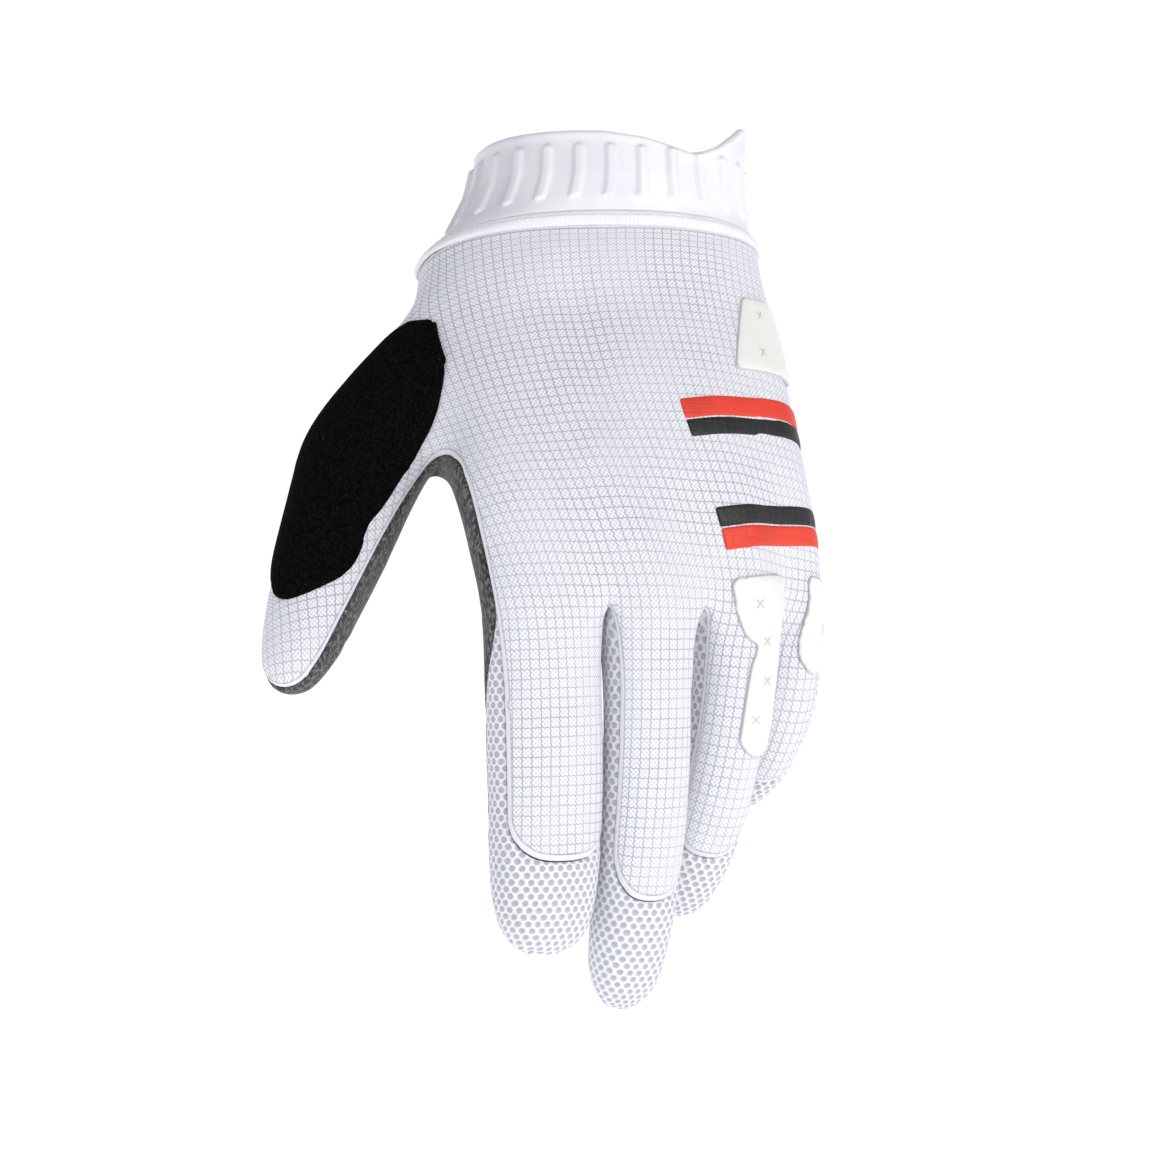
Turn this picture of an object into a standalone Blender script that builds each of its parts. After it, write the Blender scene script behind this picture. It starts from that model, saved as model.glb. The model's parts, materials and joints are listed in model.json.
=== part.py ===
"""A left-hand mountain bike glove of the pull-on kind, as it stands when a hand hanging down fills it.

+Z is up, -Y is out of the back of the hand and -X is towards the thumb. The origin is the middle of
the cuff's opening. One smooth surface gives the whole hand; the panels are cut out of it along their
seams and get the thickness of their cloth towards the inside. Pads, patch and stripes lie on it.
All lengths are in metres and all angles in degrees.
"""

import math

import bmesh
import bpy
import numpy as np
from mathutils import Vector

# Walls, gaps and relief
KNIT_WALL = 0.0013
PALM_WALL = 0.0013
MESH_WALL = 0.0015
CUFF_WALL = 0.0018
SEAM_GAP = 0.0003
OVERLAY_GAP = 0.0004
WIPE_WALL = 0.0011
PAD_WALL = 0.0010
STRIPE_WALL = 0.0006
RIB_RELIEF = 0.0010

# Cuff
CUFF_HEIGHT = 0.0282
CUFF_WIDTH = 0.0640
CUFF_DEPTH = 0.0520
TAB_REACH = 0.0100
BINDING_WIDTH = 0.0032
BINDING_THICKNESS = 0.0020
RIB_WIDTH = 0.0030
RIB_LENGTH = 0.0172
RIB_PITCH = 0.0074
RIB_COUNT = 15
RIB_SLANT = 0.20
RIB_TOP_INSET = 0.0034

# Hand
BACK_LENGTH = 0.0955
WRIST_WIDTH = 0.0840
WRIST_DEPTH = 0.0460
HAND_WIDTH = 0.0920
HAND_DEPTH = 0.0400
KNUCKLE_DEPTH = 0.0330

# Fingers and thumb, from the web to the tip
INDEX_LENGTH = 0.0860
MIDDLE_LENGTH = 0.1010
RING_LENGTH = 0.0815
LITTLE_LENGTH = 0.0560
THUMB_LENGTH = 0.0920
THUMB_WIDTH = 0.0310
THUMB_DEPTH = 0.0270

# Where the panels meet, as angles from the middle of the back
SIDE_SEAM = 75.0
WRIST_SEAM = 106.0
WRIST_SEAM_END = 0.36
TONGUE_SEAM = 70.0
PALM_SEAM = 122.0
MESH_START = 0.35

# The knit on a finger's back ends in a round, this share of the finger's length long
TONGUE_ROUNDING = 0.13

# The bend of the hand's middle line, from the cuff's rim (share -1) past the wrist (0) to the webs (1).
# Lean and skew turn the line back and to the little finger's side; tilt and roll turn the section on it.
HAND_PATH = [
    {"share": -1.00, "lean": 12, "skew": 17, "tilt": 7, "roll": 12},
    {"share": -0.50, "lean": 16, "skew": 22, "tilt": 6, "roll": 11},
    {"share": -0.20, "lean": 22, "skew": 34, "tilt": 5, "roll": 10},
    {"share": 0.00, "lean": 24, "skew": 20, "tilt": 5, "roll": 10},
    {"share": 0.15, "lean": 36, "skew": 10, "tilt": 5, "roll": 8},
    {"share": 0.45, "lean": 39, "skew": 12, "tilt": 6, "roll": 6},
    {"share": 0.70, "lean": 33, "skew": 3, "tilt": 5, "roll": 4},
    {"share": 0.88, "lean": 20, "skew": 0, "tilt": 4, "roll": 2},
    {"share": 1.00, "lean": 8, "skew": 0, "tilt": 2, "roll": 0},
]

# Sections of the hand between wrist and webs; knuckles says how far they have the fingers' own shape
PALM_SECTIONS = [
    {"share": 0.00, "width": WRIST_WIDTH, "depth": WRIST_DEPTH, "knuckles": 0.0},
    {"share": 0.14, "width": 0.5 * (WRIST_WIDTH + HAND_WIDTH), "depth": WRIST_DEPTH, "knuckles": 0.0},
    {"share": 0.28, "width": HAND_WIDTH, "depth": HAND_DEPTH, "knuckles": 0.05},
    {"share": 0.43, "width": HAND_WIDTH, "depth": HAND_DEPTH, "knuckles": 0.12},
    {"share": 0.62, "width": HAND_WIDTH, "depth": 0.5 * (HAND_DEPTH + KNUCKLE_DEPTH), "knuckles": 0.3},
    {"share": 0.80, "width": HAND_WIDTH, "depth": KNUCKLE_DEPTH, "knuckles": 0.65},
    {"share": 1.00, "width": HAND_WIDTH, "depth": KNUCKLE_DEPTH, "knuckles": 1.0},
]

# The fingers at the webs: across and out from the hand's middle line, and how far each one bends
FINGERS = [
    {"name": "index", "across": -0.329 * HAND_WIDTH, "out": -0.02 * KNUCKLE_DEPTH,
     "length": INDEX_LENGTH, "width": 0.330 * HAND_WIDTH, "depth": 0.68 * KNUCKLE_DEPTH,
     "splay": 4, "flex": 7, "knuckle_bend": 4, "tip_bend": 4, "roll": 4, "tongue": 0.72},
    {"name": "middle", "across": -0.049 * HAND_WIDTH, "out": 0.15 * KNUCKLE_DEPTH,
     "length": MIDDLE_LENGTH, "width": 0.234 * HAND_WIDTH, "depth": 0.62 * KNUCKLE_DEPTH,
     "splay": 3, "flex": 8, "knuckle_bend": 12, "tip_bend": 8, "roll": 0, "tongue": 0.70},
    {"name": "ring", "across": 0.248 * HAND_WIDTH, "out": 0.045 * KNUCKLE_DEPTH,
     "length": RING_LENGTH, "width": 0.217 * HAND_WIDTH, "depth": 0.60 * KNUCKLE_DEPTH,
     "splay": -1, "flex": 12, "knuckle_bend": 20, "tip_bend": 16, "roll": -10, "tongue": 0.73},
    {"name": "little", "across": 0.446 * HAND_WIDTH, "out": -0.24 * KNUCKLE_DEPTH,
     "length": LITTLE_LENGTH, "width": 0.201 * HAND_WIDTH, "depth": 0.58 * KNUCKLE_DEPTH,
     "splay": 1, "flex": 10, "knuckle_bend": 42, "tip_bend": 14, "roll": -25, "tongue": 0.72},
]

# How a finger's width and depth change along it
FINGER_SECTIONS = [
    {"share": 0.10, "width": 0.98, "depth": 1.00},
    {"share": 0.32, "width": 0.98, "depth": 0.97},
    {"share": 0.54, "width": 0.98, "depth": 0.94},
    {"share": 0.76, "width": 0.97, "depth": 0.90},
    {"share": 0.93, "width": 0.79, "depth": 0.76},
]

# The thumb, whose root is the radial side of the hand
THUMB_ROOT = {"share": 0.20, "across": -0.50 * HAND_WIDTH, "out": -0.20 * HAND_DEPTH, "splay": -27.5, "flex": 21}
THUMB_SECTIONS = [
    {"share": 0.27, "width": 1.07, "depth": 1.08, "roll": 20},
    {"share": 0.41, "width": 0.93, "depth": 1.04, "roll": 30},
    {"share": 0.56, "width": 0.84, "depth": 0.96, "roll": 37},
    {"share": 0.70, "width": 0.76, "depth": 0.88, "roll": 42},
    {"share": 0.84, "width": 0.64, "depth": 0.73, "roll": 45},
    {"share": 0.95, "width": 0.42, "depth": 0.47, "roll": 46},
]

# How far the cuff swells from its rim (0) to its seam (1)
CUFF_SWELL = [
    {"share": 0.0, "swell": 0.0},
    {"share": 0.4, "swell": 0.12},
    {"share": 0.7, "swell": 0.42},
    {"share": 1.0, "swell": 1.0},
]

# How far the rim rises round the cuff, as shares of the tab: the pull tab stands over the palm, and a
# dip and a small ear lie on the little finger's side of the back
RIM_RISE = [
    {"angle": -170, "rise": 0.00},
    {"angle": -155, "rise": 0.10},
    {"angle": -130, "rise": 0.60},
    {"angle": -110, "rise": 0.92},
    {"angle": -90, "rise": 1.00},
    {"angle": -65, "rise": 0.86},
    {"angle": -45, "rise": 0.60},
    {"angle": -25, "rise": 0.36},
    {"angle": 0, "rise": 0.46},
    {"angle": 14, "rise": 0.60},
    {"angle": 24, "rise": 0.68},
    {"angle": 30, "rise": 0.61},
    {"angle": 36, "rise": 0.46},
    {"angle": 45, "rise": 0.21},
    {"angle": 55, "rise": -0.12},
    {"angle": 62, "rise": -0.31},
    {"angle": 69, "rise": -0.42},
    {"angle": 78, "rise": -0.30},
    {"angle": 90, "rise": -0.10},
    {"angle": 104, "rise": 0.00},
]

# Outline of the thumb's patch, down the thumb, as shares of its length; inner is the fingers' side
WIPE_OUTLINE = [
    {"along": 0.195, "inner": 0.570, "outer": 0.60},
    {"along": 0.245, "inner": 0.490, "outer": 0.72},
    {"along": 0.375, "inner": 0.497, "outer": 0.88},
    {"along": 0.470, "inner": 0.540, "outer": 0.98},
    {"along": 0.555, "inner": 0.592, "outer": 1.04},
    {"along": 0.650, "inner": 0.690, "outer": 1.07},
    {"along": 0.730, "inner": 0.745, "outer": 1.08},
    {"along": 0.770, "inner": 0.800, "outer": 1.08},
    {"along": 0.835, "inner": 0.816, "outer": 1.07},
    {"along": 0.885, "inner": 0.866, "outer": 1.06},
    {"along": 0.905, "inner": 0.930, "outer": 1.04},
    {"along": 0.915, "inner": 0.980, "outer": 1.02},
]

# Outlines of the rubber pads as shares of half the hand's width across and of its back's length along
HAND_EDGE_PAD = [
    {"across": 0.70, "along": 0.235},
    {"across": 0.55, "along": 0.460},
    {"across": 1.12, "along": 0.425},
    {"across": 1.16, "along": 0.200},
]
RING_FINGER_PAD = [
    {"across": 0.14, "along": 0.965},
    {"across": 0.18, "along": 1.030},
    {"across": 0.26, "along": 1.085},
    {"across": 0.36, "along": 1.105},
    {"across": 0.32, "along": 1.135},
    {"across": 0.31, "along": 1.240},
    {"across": 0.31, "along": 1.335},
    {"across": 0.42, "along": 1.365},
    {"across": 0.64, "along": 1.335},
    {"across": 0.64, "along": 1.060},
    {"across": 0.54, "along": 0.940},
]
LITTLE_FINGER_PAD = [
    {"across": 0.78, "along": 0.930},
    {"across": 0.86, "along": 1.110},
    {"across": 0.96, "along": 1.150},
    {"across": 1.16, "along": 1.100},
    {"across": 1.14, "along": 0.930},
]

# Overlays end at this angle from the middle of the back. On the cloth a degree round a limb counts as
# DEGREE_RUN, a corner of another limb as REGION_STEP outside an outline, and what lies more than
# OVERLAY_MARGIN outside it is left out before the cuts.
OVERLAY_EDGE = 71.0
DEGREE_RUN = 0.0003
REGION_STEP = 0.001
OVERLAY_MARGIN = 0.010

# The printed bands, from the top one down, as shares of their whole height
STRIPES_TOP = 0.555 * BACK_LENGTH
STRIPES_HEIGHT = 0.351 * BACK_LENGTH
STRIPES_LEFT = 0.076 * HAND_WIDTH
STRIPES_RIGHT = 1.2
STRIPES_SLANT = -0.14
STRIPES = [
    {"name": "stripe_red_upper", "start": 0.00, "end": 0.15, "look": "red_print"},
    {"name": "stripe_black_upper", "start": 0.15, "end": 0.28, "look": "black_print"},
    {"name": "stripe_black_lower", "start": 0.73, "end": 0.86, "look": "black_print"},
    {"name": "stripe_red_lower", "start": 0.86, "end": 1.00, "look": "red_print"},
]

# Rings of the cage: twelve steps over the back, three down each side, twelve over the palm
FLAT_ANGLE = 5.0
BACK_STEPS = 12
LITTLE_SIDE = (BACK_STEPS + 1, BACK_STEPS + 2)
PALM_START = BACK_STEPS + 3
PALM_END = PALM_START + BACK_STEPS
THUMB_SIDE = (PALM_END + 1, PALM_END + 2)
CORNERS_PER_FINGER = 3
LIMB_RING_ANGLES = [135, 105, 75, 45, 15, -15, -45, -75, -105, -135, -165, 165]
THUMB_PATCH_ROWS = (1, 4)
ROUNDNESS = 0.88
THUMB_REGION = len(FINGERS) + 1

# The rounded ends of the limbs as shares of their lengths, and the cloth's run from a web's one corner
# to the next
FINGER_CAP = 0.06
THUMB_CAP = 0.035
WEB_RUN = 0.004

# A rib's flat top and its ends as shares of its width, and the cuff's plain columns behind the ribs
RIB_CREST = 0.56
RIB_FLANK = 0.22
PLAIN_COLUMNS = 14

# The tape's rounded corners and its foot inside the wall as shares of its thickness
BINDING_COLUMNS = 36
BINDING_CORNER = 0.3
BINDING_DEPTH = 0.7

# How much of a line's edge a corner may slide to reach it, and the least sum of a border's directions
SNAP = 0.18
LEAST_SUM = 1e-6
CORNER_SUM = 0.5


def sine(angle):
    return math.sin(math.radians(angle))


def cosine(angle):
    return math.cos(math.radians(angle))


def smoothstep(low, high, value):
    share = min(1.0, max(0.0, (value - low) / (high - low)))
    return share * share * (3.0 - 2.0 * share)


def column(rows, name):
    return [row[name] for row in rows]


def look_up(rows, name, value, key="share"):
    return float(np.interp(value, column(rows, key), column(rows, name)))


class Frame:
    """A place on a middle line: centre, and the directions down, across and out of the back."""

    def __init__(self, centre, down, across):
        self.centre = centre
        self.down = down.normalized()
        self.across = (across - across.dot(self.down) * self.down).normalized()
        self.out = self.down.cross(self.across)

    def at(self, across, out, down=0.0):
        return self.centre + across * self.across + out * self.out + down * self.down

    def turned(self, splay, flex, roll):
        down = self.down * (cosine(splay) * cosine(flex)) + self.across * (sine(splay) * cosine(flex))
        down = down - self.out * sine(flex)
        turned = Frame(self.centre, down, self.across)
        across = turned.across * cosine(roll) + turned.out * sine(roll)
        return Frame(self.centre, down, across)

    def moved(self, centre):
        return Frame(centre, self.down, self.across)


def hand_direction(share, sideways):
    lean = look_up(HAND_PATH, "lean", share)
    aside = look_up(HAND_PATH, sideways, share)
    return Vector((-math.tan(math.radians(aside)) * cosine(lean), -sine(lean), -cosine(lean))).normalized()


def hand_frame(share):
    """The frame at a share of the hand: -1 is the cuff's rim, 0 the wrist seam and 1 the webs."""
    steps = 120
    centre = Vector((0.0, 0.0, 0.0))
    for step in range(steps):
        here = -1.0 + (share + 1.0) * (step + 0.5) / steps
        stretch = CUFF_HEIGHT if here < 0.0 else BACK_LENGTH
        centre += hand_direction(here, "skew") * (stretch * (share + 1.0) / steps)
    level = Frame(centre, hand_direction(share, "tilt"), Vector((1.0, 0.0, 0.0)))
    roll = look_up(HAND_PATH, "roll", share)
    return Frame(centre, level.down, level.across * cosine(roll) + level.out * sine(roll))


def oval(width, depth, angle, roundness=ROUNDNESS):
    across = math.copysign(abs(cosine(angle)) ** roundness, cosine(angle)) * width / 2
    out = math.copysign(abs(sine(angle)) ** roundness, sine(angle)) * depth / 2
    return across, out


def palm_angles():
    """Angles of a ring's corners: over the back, down the little finger's side, the palm, the thumb's."""
    back = [150 - 10 * step for step in range(BACK_STEPS + 1)]
    palm = [-30 - 10 * step for step in range(BACK_STEPS + 1)]
    return back + [10, -10] + palm + [-170, 170]


def away_from_back(angle):
    """The unsigned angle between a corner of a ring and the middle of the back."""
    turn = abs(angle - 90.0) % 360.0
    return min(turn, 360.0 - turn)


def section_of_finger(finger, angle):
    across, out = oval(finger["width"], finger["depth"], angle + finger["roll"])
    return finger["across"] + across, finger["out"] + out


def web_corners():
    """Corners of the last ring of the hand, which the first rings of the fingers share."""
    shared = {}
    for number, finger in enumerate(FINGERS):
        first = CORNERS_PER_FINGER * number
        last = PALM_END - first
        places = [first, first + 1, first + 2, first + 3]
        places += [("web", number, 0), ("web", number, 1)]
        places += [last - 3, last - 2, last - 1, last]
        places += [("web", number - 1, 1), ("web", number - 1, 0)]
        for place, angle in zip(places, LIMB_RING_ANGLES):
            shared.setdefault(place, []).append((*section_of_finger(finger, angle), away_from_back(angle)))
    corners = {}
    for place, found in shared.items():
        corners[place] = [sum(values) / len(found) for values in zip(*found)]
    outer = {
        LITTLE_SIDE[0]: ("web", len(FINGERS) - 1, 0),
        LITTLE_SIDE[1]: ("web", len(FINGERS) - 1, 1),
        THUMB_SIDE[0]: ("web", -1, 1),
        THUMB_SIDE[1]: ("web", -1, 0),
    }
    for place, name in outer.items():
        corners[place] = corners.pop(name)
    return corners


class Cage:
    """Coarse mesh of the hand with, at each corner, its place on the cloth."""

    def __init__(self):
        self.points = []
        self.cloth = []
        self.around = []
        self.limb = []
        self.faces = []
        self.regions = []

    def add(self, point, cloth, around, limb):
        self.points.append(point)
        self.cloth.append(cloth)
        self.around.append(around)
        self.limb.append(limb)
        return len(self.points) - 1

    def band(self, upper, lower, region, skip=()):
        count = len(upper)
        for step in range(count):
            after = (step + 1) % count
            if step not in skip:
                self.faces.append((upper[step], lower[step], lower[after], upper[after]))
                self.regions.append(region)


def signed_runs(points, centre_place):
    """Lengths round a ring from its back's middle: positive towards the little finger."""
    count = len(points)
    runs = [0.0] * count
    half = count // 2
    for step in range(1, half + 1):
        here = (centre_place + step) % count
        runs[here] = runs[(here - 1) % count] + (points[here] - points[(here - 1) % count]).length
    for step in range(1, count - half):
        here = (centre_place - step) % count
        runs[here] = runs[(here + 1) % count] - (points[here] - points[(here + 1) % count]).length
    return runs


def limb_runs(points):
    """The same for a ring of twelve, whose back's middle lies between its second and third corners."""
    middle = (points[1] + points[2]) / 2
    runs = [0.0] * 12
    runs[2] = (points[2] - middle).length
    runs[1] = -runs[2]
    for here in (3, 4, 5, 6, 7):
        runs[here] = runs[here - 1] + (points[here] - points[here - 1]).length
    for here, before in ((0, 1), (11, 0), (10, 11), (9, 10), (8, 9)):
        runs[here] = runs[before] - (points[here] - points[before]).length
    return runs


def add_palm_rings(cage):
    corners = web_corners()
    angles = palm_angles()
    rings = []
    for row, section in enumerate(PALM_SECTIONS):
        frame = hand_frame(section["share"])
        blend = section["knuckles"]
        points = []
        aways = []
        for place, angle in enumerate(angles):
            across, out = oval(section["width"], section["depth"], angle)
            web_across, web_out, web_away = corners[place]
            points.append(frame.at((1 - blend) * across + blend * web_across,
                                   (1 - blend) * out + blend * web_out))
            aways.append((1 - blend) * away_from_back(angle) + blend * web_away)
        runs = signed_runs(points, BACK_STEPS // 2)
        along = section["share"] * BACK_LENGTH
        reach = (section["share"] - 1.0) * BACK_LENGTH
        ring = []
        for place, point in enumerate(points):
            outer = 1.0 if place in (0, PALM_END, *THUMB_SIDE, BACK_STEPS, *LITTLE_SIDE, PALM_START) else 0.0
            ring.append(cage.add(point, (runs[place], along), aways[place], (reach, outer)))
        rings.append(ring)
    patch = range(THUMB_PATCH_ROWS[0], THUMB_PATCH_ROWS[1])
    for row in range(len(rings) - 1):
        cage.band(rings[row], rings[row + 1], 0, skip=(PALM_END, *THUMB_SIDE) if row in patch else ())
    return rings, corners


def add_cap(cage, ring, frame, bulge, region, reach):
    """Close a limb with a patch of nine faces, its four inner corners pushed out."""
    inner = []
    for across, out in ((1, 2), (2, 2), (1, 1), (2, 1)):
        left = [cage.points[ring[11]], cage.points[ring[10]]][2 - out]
        right = [cage.points[ring[4]], cage.points[ring[5]]][2 - out]
        point = left.lerp(right, across / 3.0) + frame.down * bulge
        away = 75.0 if out == 2 else 105.0
        cloth = np.mean([cage.cloth[ring[11]], cage.cloth[ring[4]]], axis=0)
        side = (across - 1.5) * 2.0 * bulge
        inner.append(cage.add(point, (cloth[0] + side, cloth[1] + bulge), away, (reach, 0.0)))
    grid = [
        [ring[0], ring[1], ring[2], ring[3]],
        [ring[11], inner[0], inner[1], ring[4]],
        [ring[10], inner[2], inner[3], ring[5]],
        [ring[9], ring[8], ring[7], ring[6]],
    ]
    for row in range(3):
        for step in range(3):
            cage.faces.append((grid[row][step], grid[row + 1][step], grid[row + 1][step + 1], grid[row][step + 1]))
            cage.regions.append(region)


def bend_of_finger(finger, share):
    """Degrees that a finger has bent towards the palm at a share of its length."""
    middle = finger["knuckle_bend"] * smoothstep(0.22, 0.55, share)
    return finger["flex"] + middle + finger["tip_bend"] * smoothstep(0.58, 0.86, share)


def finger_frame(finger, share):
    web = hand_frame(1.0)
    steps = 40
    centre = web.at(finger["across"], finger["out"])
    for step in range(steps):
        turned = web.turned(finger["splay"], bend_of_finger(finger, share * (step + 0.5) / steps), 0)
        centre = centre + turned.down * (finger["length"] * share / steps)
    turned = web.turned(finger["splay"], bend_of_finger(finger, share), finger["roll"] * -1.0)
    return turned.moved(centre)


def add_limb_ring(cage, frame, width, depth, cloth_of, reach, outers):
    points = [frame.at(*oval(width, depth, angle)) for angle in LIMB_RING_ANGLES]
    runs = limb_runs(points)
    ring = []
    for place, angle in enumerate(LIMB_RING_ANGLES):
        ring.append(cage.add(points[place], cloth_of(runs[place]), away_from_back(angle), (reach, outers[place])))
    return ring


def add_finger(cage, number, rings, corners, web_places):
    finger = FINGERS[number]
    last = rings[-1]
    first = CORNERS_PER_FINGER * number
    ring = [last[first + step] for step in range(4)]
    ring += web_places[number]
    ring += [last[PALM_END - first - 3 + step] for step in range(4)]
    ring += web_places[number - 1][::-1]
    middle = sum(cage.cloth[ring[step]][0] for step in range(4)) / 4
    outers = [0.0] * 12
    if number == 0:
        outers = [1.0 if place in (0, 9, 10, 11) else 0.0 for place in range(12)]
    if number == len(FINGERS) - 1:
        outers = [1.0 if place in (3, 4, 5, 6) else 0.0 for place in range(12)]
    for section in FINGER_SECTIONS:
        frame = finger_frame(finger, section["share"])
        reach = section["share"] * finger["length"]
        along = BACK_LENGTH + reach

        def cloth_of(run):
            return (middle + run, along)

        lower = add_limb_ring(cage, frame, finger["width"] * section["width"],
                              finger["depth"] * section["depth"], cloth_of, reach, outers)
        cage.band(ring, lower, number + 1)
        ring = lower
    tip = finger_frame(finger, 1.0)
    add_cap(cage, ring, tip, FINGER_CAP * finger["length"], number + 1, finger["length"])


def thumb_frame(share, roll=0.0):
    root = hand_frame(THUMB_ROOT["share"])
    turned = root.turned(THUMB_ROOT["splay"], THUMB_ROOT["flex"], roll)
    centre = root.at(THUMB_ROOT["across"], THUMB_ROOT["out"]) + turned.down * (share * THUMB_LENGTH)
    return turned.moved(centre)


def add_thumb(cage, rings):
    top, bottom = THUMB_PATCH_ROWS
    rows = range(top, bottom + 1)
    ring = [rings[row][0] for row in rows]
    ring += [rings[bottom][place] for place in reversed(THUMB_SIDE)]
    ring += [rings[row][PALM_END] for row in reversed(rows)]
    ring += [rings[top][place] for place in THUMB_SIDE]
    root = hand_frame(THUMB_ROOT["share"])
    middle = sum((cage.points[place] for place in ring[:4]), Vector()) / 4
    cloth = np.mean([cage.cloth[place] for place in ring[:4]], axis=0)
    outers = [1.0] * 12
    for section in THUMB_SECTIONS:
        frame = thumb_frame(section["share"], section["roll"])
        width = THUMB_WIDTH * section["width"]
        depth = THUMB_DEPTH * section["depth"]
        back = frame.at(0.0, depth / 2)
        step = Vector(((back - middle).dot(root.across), (back - middle).dot(root.down))).normalized()
        cloth = cloth + np.array(step) * (back - middle).length
        middle = back

        def cloth_of(run):
            return (cloth[0] + step.y * run, cloth[1] - step.x * run)

        lower = add_limb_ring(cage, frame, width, depth, cloth_of, section["share"] * THUMB_LENGTH, outers)
        cage.band(ring, lower, THUMB_REGION)
        ring = lower
    tip = thumb_frame(1.0, THUMB_SECTIONS[-1]["roll"])
    add_cap(cage, ring, tip, THUMB_CAP * THUMB_LENGTH, THUMB_REGION, THUMB_LENGTH)


def hand_cage():
    cage = Cage()
    rings, corners = add_palm_rings(cage)
    web = hand_frame(1.0)
    last = rings[-1]
    web_places = {-1: [last[place] for place in reversed(THUMB_SIDE)],
                  len(FINGERS) - 1: [last[place] for place in LITTLE_SIDE]}
    for number in range(len(FINGERS) - 1):
        places = []
        for step in range(2):
            across, out, away = corners[("web", number, step)]
            run = cage.cloth[last[CORNERS_PER_FINGER * (number + 1)]][0]
            along = BACK_LENGTH + WEB_RUN * (step + 1)
            places.append(cage.add(web.at(across, out), (run, along), away, (0.0, 0.0)))
        web_places[number] = places
    for number in range(len(FINGERS)):
        add_finger(cage, number, rings, corners, web_places)
    add_thumb(cage, rings)
    return cage


def smooth_hand(levels):
    """The cage under a subdivision surface, as a bmesh whose corners keep their place on the cloth."""
    cage = hand_cage()
    mesh = bpy.data.meshes.new("hand_cage")
    mesh.from_pydata([tuple(point) for point in cage.points], [], cage.faces)
    for name, values in (("cloth", cage.cloth), ("limb", cage.limb), ("around", None)):
        layer = mesh.uv_layers.new(name=name)
        for loop in mesh.loops:
            if values is None:
                layer.data[loop.index].uv = (cage.around[loop.vertex_index] / 180.0, 0.0)
            else:
                layer.data[loop.index].uv = values[loop.vertex_index]
    for polygon, region in zip(mesh.polygons, cage.regions):
        polygon.material_index = region
    holder = bpy.data.objects.new("hand_cage", mesh)
    bpy.context.scene.collection.objects.link(holder)
    surface = holder.modifiers.new("Surface", "SUBSURF")
    surface.levels = levels
    surface.render_levels = levels
    surface.uv_smooth = "SMOOTH_ALL"
    bpy.context.view_layer.update()
    evaluated = holder.evaluated_get(bpy.context.evaluated_depsgraph_get())
    fine = evaluated.to_mesh()
    bm = bmesh.new()
    bm.from_mesh(fine)
    unused = [vert for vert in bm.verts if not vert.link_faces]
    bmesh.ops.delete(bm, geom=unused, context="VERTS")
    bm.verts.index_update()
    values = {}
    layers = [bm.loops.layers.uv[name] for name in ("cloth", "limb", "around")]
    for face in bm.faces:
        for loop in face.loops:
            cloth, limb, around = [loop[layer].uv for layer in layers]
            values[loop.vert.index] = (cloth.x, cloth.y, limb.x, limb.y, around.x * 180.0)
    for name, place in (("across", 0), ("along", 1), ("reach", 2), ("outer", 3), ("away", 4)):
        layer = bm.verts.layers.float.new(name)
        for vert in bm.verts:
            vert[layer] = values[vert.index][place]
    normals = bm.verts.layers.float_vector.new("outward")
    bm.normal_update()
    for vert in bm.verts:
        vert[normals] = vert.normal
    evaluated.to_mesh_clear()
    bpy.data.objects.remove(holder, do_unlink=True)
    bpy.data.meshes.remove(mesh)
    return bm


# Cutting panels out of the smooth surface

LAYERS = ("across", "along", "reach", "outer", "away")


class Spot:
    """A corner's place on the cloth, read by name."""

    def __init__(self, vert, layers, region):
        for name in LAYERS:
            setattr(self, name, vert[layers[name]])
        self.region = region
        self.co = vert.co


def layers_of(bm):
    return {name: bm.verts.layers.float[name] for name in LAYERS}


def region_of(vert):
    regions = [face.material_index for face in vert.link_faces]
    return max(set(regions), key=regions.count)


def slide(vert, towards, share, layers, outward):
    vert.co = vert.co.lerp(towards.co, share)
    for layer in layers.values():
        vert[layer] += (towards[layer] - vert[layer]) * share
    vert[outward] = Vector(vert[outward]).lerp(Vector(towards[outward]), share).normalized()


def cut_along(bm, field):
    """Split faces where the field is zero, sliding corners that lie close to the line onto it."""
    layers = layers_of(bm)
    outward = bm.verts.layers.float_vector["outward"]
    value = {vert: field(Spot(vert, layers, region_of(vert))) for vert in bm.verts}
    for vert in list(bm.verts):
        best = None
        for edge in vert.link_edges:
            other = edge.other_vert(vert)
            if value[vert] * value[other] < 0.0:
                share = value[vert] / (value[vert] - value[other])
                if share < SNAP and (best is None or share < best[0]):
                    best = (share, other)
        if best is not None:
            slide(vert, best[1], best[0], layers, outward)
            value[vert] = 0.0
    for edge in list(bm.edges):
        first, second = edge.verts
        if value[first] * value[second] < 0.0:
            share = value[first] / (value[first] - value[second])
            before = [first[layer] for layer in layers.values()]
            after = [second[layer] for layer in layers.values()]
            normal = Vector(first[outward]).lerp(Vector(second[outward]), share).normalized()
            point = first.co.lerp(second.co, share)
            fresh = bmesh.utils.edge_split(edge, first, share)[1]
            fresh.co = point
            for layer, low, high in zip(layers.values(), before, after):
                fresh[layer] = low + (high - low) * share
            fresh[outward] = normal
            value[fresh] = 0.0
    for face in list(bm.faces):
        split_face(face, value)
    return value


def split_face(face, value):
    """Join the face's corners on the line where it has corners on both sides."""
    signs = {value[vert] > 0.0 for vert in face.verts if value[vert] != 0.0}
    if len(signs) < 2:
        return
    ring = list(face.verts)
    on_line = [place for place, vert in enumerate(ring) if value[vert] == 0.0]
    for first in on_line:
        for second in on_line:
            if second - first < 2 or second - first > len(ring) - 2:
                continue
            inside = {value[vert] > 0.0 for vert in ring[first + 1:second] if value[vert] != 0.0}
            outside = {value[vert] > 0.0 for vert in ring[second + 1:] + ring[:first] if value[vert] != 0.0}
            if len(inside) == 1 and len(outside) == 1 and inside != outside:
                bmesh.utils.face_split(face, ring[first], ring[second])
                return


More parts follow.
